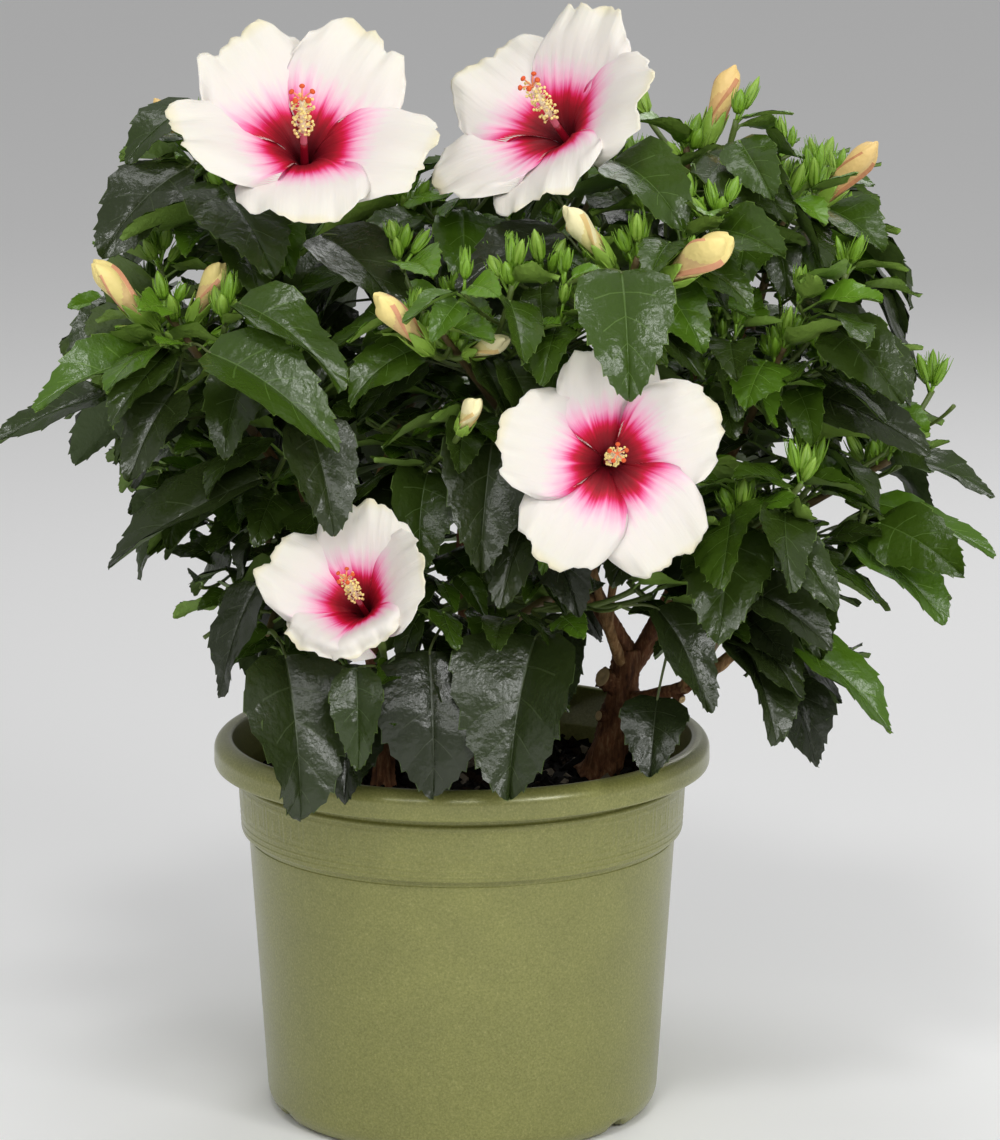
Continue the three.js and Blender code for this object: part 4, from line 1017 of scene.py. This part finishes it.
# Gaps where the crown is open from front to back: lines across them at the trunk's depth, (x, z) to (x, z)
GAPS = (
    ((195, 259), (236, 259)), ((192, 244), (236, 244)), ((184, 320), (185, 303)), ((203, 339), (215, 317)),
    ((133, 231), (133, 190)), ((143, 218), (144, 187)),
    ((229, 369), (272, 369)), ((235, 353), (273, 353)), ((253, 338), (273, 338)),
    ((-224, 332), (-172, 332)), ((-224, 317), (-170, 317)), ((-224, 301), (-178, 301)),
    ((-162, 283), (-129, 283)), ((-175, 269), (-130, 269)), ((-175, 255), (-129, 255)),
    ((-176, 239), (-131, 239)), ((-176, 222), (-134, 222)),
)
GAP_DEPTH = 190
EYE = vec(19.5, -2600, 838)
for (ax, az), (bx, bz) in GAPS:
    a, b = vec(ax, 0, az), vec(bx, 0, bz)
    room.put_sheet(*(q + (q - EYE) * side * GAP_DEPTH / -EYE[1] for q, side in ((a, -1), (a, 1), (b, 1), (b, -1))))

# The large leaves that show most: where the blade starts, its tip, width for its length, roll, curl, tint
SHOWN_LEAVES = (
    ((-85, -128, 266), (-77, -152, 188), 0.68, 4, 40, 1),
    ((-50, -138, 262), (-49, -150, 214), 0.52, -6, 34, 2),
    ((-15, -120, 266), (-12, -148, 198), 0.84, 6, 44, 0),
    ((37, -114, 272), (30, -146, 198), 0.78, -4, 44, 1),
    ((97, -100, 238), (93, -124, 204), 0.8, 8, 34, 0),
    ((77, -152, 458), (80, -190, 402), 0.68, 0, 50, 3),
    ((101, -140, 442), (145, -166, 393), 0.56, -24, 44, 3),
    ((18, -122, 384), (10, -152, 312), 0.6, 10, 30, 1),
    ((-96, -110, 350), (-171, -126, 309), 0.58, 16, 20, 1),
    ((-121, -128, 415), (-58, -160, 372), 0.5, -30, 36, 3),
    ((-107, -110, 436), (-56, -140, 398), 0.5, -20, 40, 3),
    ((-152, -70, 402), (-208, -98, 382), 0.5, 26, 30, 4),
    ((-176, -50, 380), (-229, -62, 358), 0.5, 20, 26, 2),
    ((-138, -96, 392), (-168, -130, 350), 0.6, 10, 30, 1),
    ((138, -110, 296), (192, -132, 268), 0.58, -20, 30, 1),
    ((163, -90, 264), (212, -102, 220), 0.5, -20, 34, 4),
    ((154, -80, 264), (158, -94, 214), 0.54, 8, 30, 1),
    ((96, -112, 286), (130, -138, 238), 0.6, -8, 34, 1),
    ((49, -92, 468), (-12, -118, 442), 0.66, 14, 34, 0),
    ((-68, -74, 464), (-28, -116, 430), 0.6, -16, 34, 1),
    ((74, -72, 500), (112, -112, 472), 0.62, -14, 46, 3),
    ((121, -42, 500), (160, -82, 470), 0.66, -16, 44, 2),
    ((166, -22, 480), (204, -50, 424), 0.5, -14, 40, 2),
    ((-135, -22, 490), (-176, -62, 450), 0.64, 14, 40, 1),
    ((-122, -40, 486), (-90, -94, 446), 0.66, -6, 36, 2),
    ((-131, 10, 518), (-166, -24, 492), 0.56, 10, 40, 2),
    ((-34, -104, 444), (6, -150, 408), 0.56, -16, 36, 3),
    ((-74, -130, 384), (-60, -154, 330), 0.6, 0, 36, 1),
    ((40, -112, 346), (20, -150, 294), 0.58, 6, 40, 1),
    ((167, -62, 432), (219, -70, 396), 0.5, -24, 40, 1),
    ((167, -72, 386), (231, -84, 356), 0.5, -24, 30, 1),
    ((177, -70, 350), (240, -76, 324), 0.5, -20, 30, 1),
    ((206, -52, 326), (266, -58, 300), 0.36, -30, 24, 4),
    ((193, -62, 310), (234, -86, 272), 0.56, -14, 34, 4),
    ((-98, -122, 300), (-116, -134, 246), 0.5, 12, 30, 0),
    ((58, -136, 340), (40, -158, 312), 0.4, 10, 60, 4),
)
TWIG_REACH = 34


def nearest_shoot(place):
    best = None
    for shoot in all_shoots:
        for s in np.linspace(0.0 if shoot.kind else 0.05, 0.97, 12):
            at = shoot.at(s)
            far = norm(at - place) + (6 if at[2] > place[2] + 10 else 0)
            if best is None or far < best[0]:
                best = (far, shoot, at)
    return best[1:]


def shown_leaf(k, start, tip, share, roll, curl, tint):
    draw = seeded(900 + k)
    start, tip = vec(*start), vec(*tip)
    shoot, at = nearest_shoot(start)
    reach = norm(start - at)
    if reach > TWIG_REACH:
        end = start + unit(at - start) * 24 + UP * 3
        out = unit(vec(*(end - at)[:2], 0.35 * norm(end - at)))
        twig = Bezier(at, at + out * norm(end - at) * 0.5, end)
        twigs.add_tube(rings(twig, taper(1.5, 1.1), 7, max(6, int(reach / 5))), 1)
        room.put("m:" + shoot.mass, coarse_tube(twig, 1.6, 3, 2))
        at = end
    side, ahead = unit(np.cross(tip - start, UP)), unit((tip - start) * vec(1, 1, 0))
    half = radians(curl) / 2
    for slide in (0, 6, -6, 12, -12, 18, -18):
        for far in (0, -6, 6, -12):
            chord = tip + side * slide + ahead * far - start
            length = norm(chord) * half / sin(half)
            pitch = degrees(atan2(chord[2], hypot(chord[0], chord[1])))
            h = dict(root=start, petiole=0, petiole_pitch=0, start=pitch + curl / 2, curl=curl, roll=roll,
                     length=length, width=length * share, age=5, extra=[draw() for _ in range(8)], tint=tint)
            h["extra"][5] = 0.5
            turn = heading_of(chord)
            if room.clear(coarse_leaf(at, turn, h, 0.3, 0.4), skip=("m:" + shoot.mass,)):
                leaves.append((shoot, at, turn, h))
                room.put("leaf", coarse_leaf(at, turn, h, 0.0, 0.4))
                return


for k, row in enumerate(SHOWN_LEAVES):
    shown_leaf(k, *row)


def node_depth(i, kind):
    """How far below a shoot's tip its node i stands."""
    return 2.5 + 4.6 * i + 1.1 * i * i if kind else 3 + 5 * i + 0.95 * i * i


for i in range(13):
    for shoot in all_shoots:
        share = 1 - node_depth(i, shoot.kind) / shoot.length
        if share < 0.05 or i >= shoot.leaves:
            continue
        draw = seeded(shoot.seed * 97 + i)
        h = habit_of(i, draw, MASSES[shoot.mass][6], shoot.kind)
        node = shoot.at(share)
        spiral = shoot.turn + i * GOLDEN_TURN
        outward = radians(heading_of(node - vec(*CROWN_AXIS, 0)) - spiral)
        lean = degrees(atan2(sin(outward), cos(outward)))
        add_leaf(shoot, node, spiral + lean * 0.4 + (draw() - 0.5) * 26, h)

# ---- Leaves: their meshes ----

VEINS = 5
LEAF_ROWS = 4 * VEINS + 2


def ovate(x):
    """Half width of the blade at share x of its length, 1 at its widest."""
    x = np.clip(x, 0, 1)
    return x ** 0.4 * (1 - x) ** 0.74 * (1 + 0.4 * (1 - x) ** 2) / 0.566


def by_row(values, rest=0):
    """Values that recur from side vein to side vein, a value for each row."""
    return np.array([values[j % 4] if j < 4 * VEINS else rest for j in range(LEAF_ROWS)])[None, :, None]


def leaf_grid():
    """Rows that follow the side veins: a narrow vein strip, then two puckered rows. Shares along and across."""
    rows = []
    for k in range(VEINS):
        s0, s1 = k / VEINS, (k + 1) / VEINS
        rows += [s0, s0 + 0.0095, mix(s0, s1, 0.38), mix(s0, s1, 0.7)]
    s = (np.array(rows + [0.985, 1.0]) * 0.995)[None, :, None]
    margin = np.clip(s + 0.23 * np.sin(pi * s) ** 0.9, 0, 1)
    tooth = by_row((1.0, -0.55, 0.75, -0.5)) * smooth((margin - 0.25) / 0.2) * (1 - smooth((margin - 0.93) / 0.07))
    return s, margin, np.array([0.0, 0.022, 0.3, 0.64, 1.0]), ovate(margin), tooth, by_row((0.0, 0.0, 1.0, 0.9))


GRID = leaf_grid()
UNDER_ROWS = [j for j in range(LEAF_ROWS) if j % 4 != 2]
UNDER_COLS = [0, 1, 4, 7, 8]


def build_leaves(batch):
    """The points of a batch of leaves: the upper sheets and the sparser sheets below."""
    s, margin, w, widest, tooth, puck = GRID
    col = lambda f: np.array([f(b) for b in batch], float)[:, None, None]
    of = lambda key: col(lambda b: b[3][key])
    turn = np.radians(col(lambda b: b[2]))
    length, width = of("length"), of("width")
    curl, pitch, roll = np.radians(of("curl")), np.radians(of("start")), np.radians(of("roll"))
    ex = [col(lambda b, k=k: b[3]["extra"][k]) for k in range(8)]
    root = np.array([leaf_root(*b[1:4]) for b in batch])[:, None, None, :]
    h = np.stack([np.cos(turn), np.sin(turn), np.zeros_like(turn)], -1)
    level = np.stack([np.sin(turn), -np.cos(turn), np.zeros_like(turn)], -1)
    sheets = []
    for sign in (-1.0, 1.0):
        x = s + (margin - s) * w ** 1.25 + tooth * 0.012 * w ** 8
        y = widest * w * (1 + 0.075 * tooth * w ** 8) * width / 2
        fold = np.radians(mix(4, 26, ex[0]))
        wave = (0.4 + ex[1]) * 2.7 * w ** 2 * smooth(x / 0.25)
        wave = wave * np.sin(x * mix(8, 12, ex[2]) + ANY_PHASE * ex[3] + (1.3 if sign > 0 else 0))
        cup = mix(-4.4, 4.4, ex[4]) * (y / (width / 2)) ** 2
        pucker = (0.55 * puck * 4 * w * (1 - 0.75 * w) - 0.25 * (w < 0.01)) * (width / 46)
        z = y * np.tan(fold) * (1 - 0.25 * w) + (wave + cup) * (width / 46) + pucker
        y = y * np.cos(fold * 0.6)
        bend = mix(-7, 7, ex[5]) * x ** 2
        # the arc that the midrib follows, turned further down at its tip
        arc = pitch - curl * x
        now = arc - np.radians(mix(0, 40, ex[6] ** 3)) * smooth((x - 0.75) / 0.25) * 0.6
        forward = length * (np.sin(pitch) - np.sin(arc)) / curl
        upward = length * (np.cos(arc) - np.cos(pitch)) / curl
        along = h * np.cos(now)[..., None] + UP * np.sin(now)[..., None]
        top = np.cross(np.broadcast_to(level, along.shape), along)
        twist = (roll + np.radians(mix(-22, 22, ex[7])) * x)[..., None]
        side, normal = level * np.cos(twist) + top * np.sin(twist), top * np.cos(twist) - level * np.sin(twist)
        midrib = root + h * forward[..., None] + UP * upward[..., None]
        sheets.append((midrib + side * (sign * y + bend)[..., None] + normal * z[..., None], normal))
    # one sheet across: left margin ... midrib ... right margin
    top, normal = (np.concatenate([left[:, :, ::-1], right[:, :, 1:]], 2) for left, right in zip(*sheets))
    share = np.concatenate([w[::-1], w[1:]])
    thick = np.where(share < 0.01, 1.35, np.where(share > 0.99, 0.2, 0.9))
    thin_tip = np.append(np.ones(LEAF_ROWS - 1), 0.2)
    under = top - normal * (thick[:, None] * thin_tip[:, None, None])
    for edge, inner in ((0, 1), (-1, -2)):
        outward = top[:, :, edge] - top[:, :, inner]
        outward /= np.maximum(norm(outward, axis=-1, keepdims=True), 1.0)
        under[:, :, edge] += outward * 0.55
    under = under[:, UNDER_ROWS][:, :, UNDER_COLS]
    return np.concatenate([p.reshape(len(batch), -1, 3) for p in (top, under)], 1)


def leaf_faces():
    """Faces of one leaf, upper sheet first, and for each its part: 0 blade, 1 vein, 2 underside."""
    cols = 2 * len(GRID[2]) - 2
    upper = grid_faces(LEAF_ROWS - 1, cols)[:, [0, 3, 2, 1]]
    under = grid_faces(len(UNDER_ROWS) - 1, len(UNDER_COLS) - 1, LEAF_ROWS * (cols + 1))
    j, i = np.divmod(np.arange(len(upper)), cols)
    side_vein = (j % 4 == 0) & (j < 4 * VEINS) & (i > 0) & (i < cols - 1)
    midrib = (i == cols // 2 - 1) | (i == cols // 2)
    return np.concatenate([upper, under]), np.concatenate([side_vein | midrib, np.full(len(under), 2)])


FACES, FACE_PARTS = leaf_faces()
TINTS = ("deep", "dark", "full", "mid", "fresh", "young")


def tint_of(leaf):
    """Older leaves are darker, and so are those low in the crown."""
    shoot, node, turn, h = leaf
    if "tint" in h:
        return h["tint"]
    draw = seeded(int(abs(node[0] * 13 + node[1] * 7 + node[2] * 3)) + 3)
    age = h["age"] + (draw() - 0.5) * 2.4 - (0.7 if shoot.buds else 0) + np.interp(node[2], (250, 470), (1.7, 0.1))
    for tint, limit in ((5, 0.5), (4, 1.3), (3, 2.4), (2, 4.0)):
        if age < limit:
            return tint
    return 1 if draw() < 0.5 else 0


def petiole_mesh(pile, leaf):
    shoot, node, turn, h = leaf
    root = leaf_root(node, turn, h)
    along = direction(turn, h["start"])
    bend = mix(node, root, 0.6) + UP * (0.12 * norm(root - node) if "root" in h else 0)
    curve = Bezier(node, bend, root - along * 1.2, root + along * 2.0)
    pile.add_tube(rings(curve, lambda s: 0.62 + 0.35 * (1 - s) ** 4 + 0.12 * s, 5, 5), 2 if h["age"] < 3 else 3)


# ---- Materials ----


def srgb(r, g, b):
    f = lambda c: c / 12.92 if c <= 0.04045 else ((c + 0.055) / 1.055) ** 2.4
    return tuple(f(c / 255) for c in (r, g, b)) + (1.0,)


def new_material(name, color, roughness, metallic=0.0, specular=0.5, **settings):
    m = bpy.data.materials.new(name)
    m.use_nodes = True
    settings.update({"Base Color": color, "Roughness": roughness, "Metallic": metallic, "Specular IOR Level": specular})
    for key, value in settings.items():
        bsdf(m).inputs[key].default_value = value
    return m


def bsdf(m):
    return m.node_tree.nodes["Principled BSDF"]


def node(m, kind, wires=(), **settings):
    """A new node's first output. Settings are its inputs' values or its own, wires are (input, output socket)."""
    n = m.node_tree.nodes.new("ShaderNode" + kind)
    for key, value in settings.items():
        if key in n.inputs:
            n.inputs[key].default_value = value
        else:
            setattr(n, key, value)
    for key, source in wires:
        m.node_tree.links.new(source, n.inputs[key])
    return n.outputs[0]


def place_in(m, scale=None):
    """The object's own coordinates, stretched where a scale is given."""
    place = m.node_tree.nodes.new("ShaderNodeTexCoord").outputs["Object"]
    return node(m, "Mapping", [("Vector", place)], Scale=scale) if scale else place


def noise(m, place, scale, detail, roughness=0.5):
    return node(m, "TexNoise", [("Vector", place)], Scale=scale, Detail=detail, Roughness=roughness)


def bump(m, height, strength, distance=0.001):
    normal = node(m, "Bump", [("Height", height)], Strength=strength, Distance=distance)
    m.node_tree.links.new(normal, bsdf(m).inputs["Normal"])


def ramp(m, source, *stops):
    r = m.node_tree.nodes.new("ShaderNodeValToRGB")
    e = r.color_ramp.elements
    e[0].position, e[0].color = stops[0]
    e[1].position, e[1].color = stops[-1]
    for position, color in stops[1:-1]:
        e.new(position).color = color
    m.node_tree.links.new(source, r.inputs[0])
    return r.outputs[0]


def maths(m, operation, *terms):
    n = m.node_tree.nodes.new("ShaderNodeMath")
    n.operation = operation
    for socket, term in zip(n.inputs, terms):
        if isinstance(term, float):
            socket.default_value = term
        else:
            m.node_tree.links.new(term, socket)
    return n.outputs[0]


def base_product(m, first, second):
    """The base colour is one colour multiplied by another."""
    mul = m.node_tree.nodes.new("ShaderNodeMix")
    mul.data_type, mul.blend_type = "RGBA", "MULTIPLY"
    mul.inputs["Factor"].default_value = 1.0
    for source, key in ((first, 6), (second, 7)):
        m.node_tree.links.new(source, mul.inputs[key])
    m.node_tree.links.new(mul.outputs[2], bsdf(m).inputs["Base Color"])


def plain(name, colour, roughness, scale, strength, distance=0.001, specular=0.5):
    """One colour with fine bumps."""
    m = new_material(name, srgb(*colour), roughness, 0, specular)
    bump(m, noise(m, place_in(m), scale, 4.0), strength, distance)
    return m


def bark_material(name, dark, light, grey):
    m = new_material(name, srgb(*light), 0.82, 0, 0.25)
    fine = noise(m, place_in(m, (420, 420, 90)), 1.0, 8.0, 0.65)
    broad = noise(m, place_in(m), 55.0, 3.0)
    base_product(m, ramp(m, fine, (0.3, srgb(*dark)), (0.52, srgb(*light)), (0.74, srgb(*grey))),
                 ramp(m, broad, (0.35, (0.62, 0.6, 0.58, 1)), (0.7, (1.15, 1.1, 1.05, 1))))
    bump(m, fine, 0.7, 0.0008)
    return m


def petal_material():
    """White petal with a crimson eye that runs out in fine rays through pink, and a creamy rim."""
    m = new_material("petal", srgb(246, 243, 234), 0.55, 0, 0.3,
                     **{"Subsurface Weight": 0.15, "Subsurface Radius": (0.004, 0.003, 0.002)})
    out, aside, phase = (m.node_tree.nodes.new("ShaderNodeAttribute") for _ in range(3))
    out.attribute_name, aside.attribute_name, phase.attribute_name = "pu", "pc", "pp"
    out, aside, phase = (n.outputs["Fac"] for n in (out, aside, phase))
    spread, drawn_out = maths(m, "MULTIPLY", aside, 9.0), maths(m, "MULTIPLY", out, 1.3)
    place = node(m, "CombineXYZ", [(0, spread), (1, drawn_out), (2, phase)])
    rays = noise(m, place, 1.0, 5.0, 0.6)
    # the rays reach further along the petal's middle than at its sides, and further out than towards the throat
    shift = maths(m, "MULTIPLY", maths(m, "MULTIPLY_ADD", rays, 0.44, -0.22), out)
    side = maths(m, "MULTIPLY", maths(m, "POWER", aside, 2.0), 0.05)
    reach = maths(m, "ADD", maths(m, "ADD", out, shift), side)
    eye = ((0.0, (52, 0, 8)), (0.2, (92, 0, 14)), (0.33, (142, 0, 24)), (0.385, (192, 0, 46)), (0.41, (222, 30, 98)),
           (0.44, (234, 106, 160)), (0.485, (240, 172, 200)), (0.55, (236, 208, 216)), (0.63, (230, 223, 217)),
           (1.0, (231, 227, 214)))
    base_product(m, ramp(m, reach, *((place, srgb(*colour)) for place, colour in eye)),
                 ramp(m, out, (0.93, (1, 1, 1, 1)), (1.0, srgb(253, 249, 230))))
    bump(m, rays, 0.35, 0.0012)
    return m


def pot_material():
    """Olive plastic with a fine metallic fleck and faint streaks of moulding."""
    m = new_material("pot_plastic", srgb(128, 131, 78), 0.4, 0.15, 0.4, **{"Coat Weight": 0.3, "Coat Roughness": 0.13})
    fleck, cloud = noise(m, place_in(m), 900.0, 3.0, 0.7), noise(m, place_in(m), 38.0, 5.0, 0.6)
    flecks = ((0.3, (116, 117, 62)), (0.5, (130, 131, 73)), (0.64, (142, 142, 84)), (0.8, (164, 162, 108)))
    base_product(m, ramp(m, fleck, *((place, srgb(*colour)) for place, colour in flecks)),
                 ramp(m, cloud, (0.3, (0.94, 0.94, 0.93, 1)), (0.7, (1.05, 1.05, 1.03, 1))))
    rough = ramp(m, cloud, (0.3, (0.3, 0.3, 0.3, 1)), (0.7, (0.38, 0.38, 0.38, 1)))
    m.node_tree.links.new(rough, bsdf(m).inputs["Roughness"])
    bump(m, fleck, 0.25, 0.0004)
    return m


# blade, vein, underside
LEAF_COLOURS = {
    "deep": ((33, 41, 20), (43, 51, 29), (64, 80, 42)),
    "dark": ((39, 50, 20), (51, 63, 31), (74, 92, 46)),
    "full": ((44, 60, 17), (59, 78, 31), (86, 108, 48)),
    "mid": ((54, 77, 17), (72, 98, 33), (96, 122, 50)),
    "fresh": ((70, 102, 22), (94, 127, 43), (110, 141, 56)),
    "young": ((94, 134, 32), (117, 151, 53), (127, 158, 66)),
}
LEAF_PARTS = (("top", 0.27, 190, 0.5), ("vein", 0.38, 190, 0.5), ("under", 0.55, 300, 0.3))
leaf_materials = [plain(f"leaf_{tint}_{part}", colour, rough, scale, 0.55, 0.0016, specular) for tint in TINTS
                  for (part, rough, scale, specular), colour in zip(LEAF_PARTS, LEAF_COLOURS[tint])]
bark_mat = bark_material("bark", (60, 36, 25), (124, 82, 54), (168, 134, 100))
bough_mat = bark_material("bark_young", (90, 66, 42), (150, 116, 76), (188, 158, 116))
cut_mat = plain("cut_wood", (196, 168, 122), 0.8, 900, 0.3)
twig_old = plain("twig_brown", (104, 86, 52), 0.6, 500, 0.4)
twig_green = plain("twig_green", (92, 110, 48), 0.5, 500, 0.3)
petiole_green = plain("petiole_green", (110, 140, 56), 0.42, 700, 0.2)
petiole_dark = plain("petiole_dark", (84, 96, 48), 0.45, 700, 0.2)
bud_green = plain("bud_green", (122, 164, 44), 0.4, 500, 0.35)
calyx_green = plain("calyx_green", (142, 178, 66), 0.45, 500, 0.35)
mix_materials = [plain("mix_dark", (17, 13, 11), 0.95, 700, 0.8, specular=0.1),
                 plain("mix_brown", (40, 29, 21), 0.95, 700, 0.8, specular=0.1),
                 plain("mix_pale", (124, 114, 100), 0.9, 700, 0.5, specular=0.2)]
# each fold colour is a warmer edge tint darkened with painted shade for the crease where a furled petal winds over the
# next
BUD_PETALS = {"cream": (236, 222, 152), "cream_tip": (246, 236, 184), "cream_fold": (228, 196, 128),
              "peach": (238, 202, 142), "peach_tip": (248, 226, 146), "peach_fold": (230, 164, 124),
              "amber": (228, 184, 122), "amber_tip": (240, 204, 132), "amber_fold": (206, 142, 96)}
bud_materials = [plain("bud_" + label, colour, 0.5, 260, 0.45, 0.0012) for label, colour in BUD_PETALS.items()]
SLEEK, GRAINY = (500, 0.2, 0.0004), (1800, 0.6, 0.0004)
HEART = (("red_tube", (150, 6, 34), 0.45, SLEEK), ("pink_tube", (226, 120, 140), 0.5, SLEEK),
         ("pale_tube", (250, 238, 204), 0.5, SLEEK), ("filament", (248, 236, 210), 0.5, SLEEK),
         ("anther", (252, 232, 150), 0.75, GRAINY), ("style", (240, 150, 104), 0.5, SLEEK),
         ("stigma", (224, 92, 44), 0.8, GRAINY))
heart_materials = [plain("heart_" + label, colour, rough, *grain) for label, colour, rough, grain in HEART]

# ---- Pieces ----

make_object("stems", bark, [bark_mat, cut_mat], list(LIMBS))
make_object("boughs", boughs, [bough_mat], ["bough_" + n for n in MASSES])
pot_mat = pot_material()
make_object("pot_shell", pot, [pot_mat], ["pot"])
make_object("pot_fret", fret_pile, [pot_mat], (), smooth_shade=False)
make_object("potting_mix_top", soil, mix_materials, ["potting_mix"], smooth_shade=False)
petal_mat = petal_material()
for name, (pile, uv) in petal_piles.items():
    make_object(name + "_petals", pile, [petal_mat], [name], uv=uv)
make_object("columns_and_anthers", hearts, heart_materials, ())
make_object("furled_buds", buds, bud_materials, ())
make_object("green_buds", greens, [bud_green, calyx_green], ())

GROUPS = 4
group_of = {name: min(GROUPS - 1, k * GROUPS // len(MASSES)) for k, name in enumerate(MASSES)}
for g in range(GROUPS):
    batch = [leaf for leaf in leaves if group_of[leaf[0].mass] == g]
    points = build_leaves(batch)
    offset = (np.arange(len(batch)) * points.shape[1])[:, None, None]
    tints = np.array([tint_of(leaf) for leaf in batch])
    pile = Pile()
    pile.add(points, (FACES + offset).reshape(-1, 4), None, (tints[:, None] * 3 + FACE_PARTS).reshape(-1))
    make_object(f"leaves_{g + 1}", pile, leaf_materials, ["mass_" + n for n in MASSES if group_of[n] == g])
    for leaf in batch:
        petiole_mesh(twigs, leaf)
make_object("twigs", twigs, [twig_old, twig_green, petiole_green, petiole_dark], ())
make_object("flower_stalks", stalks, [twig_green, bud_green], ())

# ---- Stage, light and camera ----

floor_mesh = bpy.data.meshes.new("floor")
FLOOR_HALF, FLOOR_DROP = 9, -0.0002
corners = [(x * FLOOR_HALF, y * FLOOR_HALF, FLOOR_DROP) for x, y in ((-1, -1), (1, -1), (1, 1), (-1, 1))]
floor_mesh.from_pydata(corners, [], [(0, 1, 2, 3)])
floor = bpy.data.objects.new("floor", floor_mesh)
bpy.context.scene.collection.objects.link(floor)
floor_mesh.materials.append(new_material("floor_pale", (0.93, 0.93, 0.93, 1), 0.9, 0, 0.1))


def area(name, place, target, size, power, tall=None):
    light = bpy.data.lights.new(name, "AREA")
    light.shape, light.size, light.energy = "RECTANGLE" if tall else "DISK", size, power
    light.size_y = tall or size
    obj = bpy.data.objects.new(name, light)
    bpy.context.scene.collection.objects.link(obj)
    obj.location = place
    obj.rotation_euler = (Vector(target) - Vector(place)).to_track_quat("-Z", "Y").to_euler()


area("strip", (-0.1, -2.0, 1.45), (0, 0, 0.25), 3.0, 17, 0.35)
area("front", (-0.1, -1.35, 2.1), (0, 0, 0.35), 0.4, 10)
area("key", (1.45, -1.6, 1.35), (0, 0, 0.3), 0.7, 14)
area("top", (0.1, 0.3, 2.4), (0, 0, 0.4), 0.8, 6)
area("back", (0.7, 1.7, 1.5), (0, 0, 0.4), 1.0, 6)
world = bpy.data.worlds.new("studio")
bpy.context.scene.world = world
world.use_nodes = True
background = world.node_tree.nodes["Background"]
background.inputs["Color"].default_value = (1, 1, 1, 1)
background.inputs["Strength"].default_value = 0.4

LOOKS_DOWN = 12.1
camera = bpy.data.cameras.new("camera")
camera.lens = 164.9
camera.sensor_width = 36
camera.clip_end = 60
eye = bpy.data.objects.new("camera", camera)
bpy.context.scene.collection.objects.link(eye)
eye.location = EYE * MM
eye.rotation_euler = (radians(90 - LOOKS_DOWN), 0, 0)
bpy.context.scene.camera = eye
bpy.context.scene.view_settings.view_transform = "Standard"
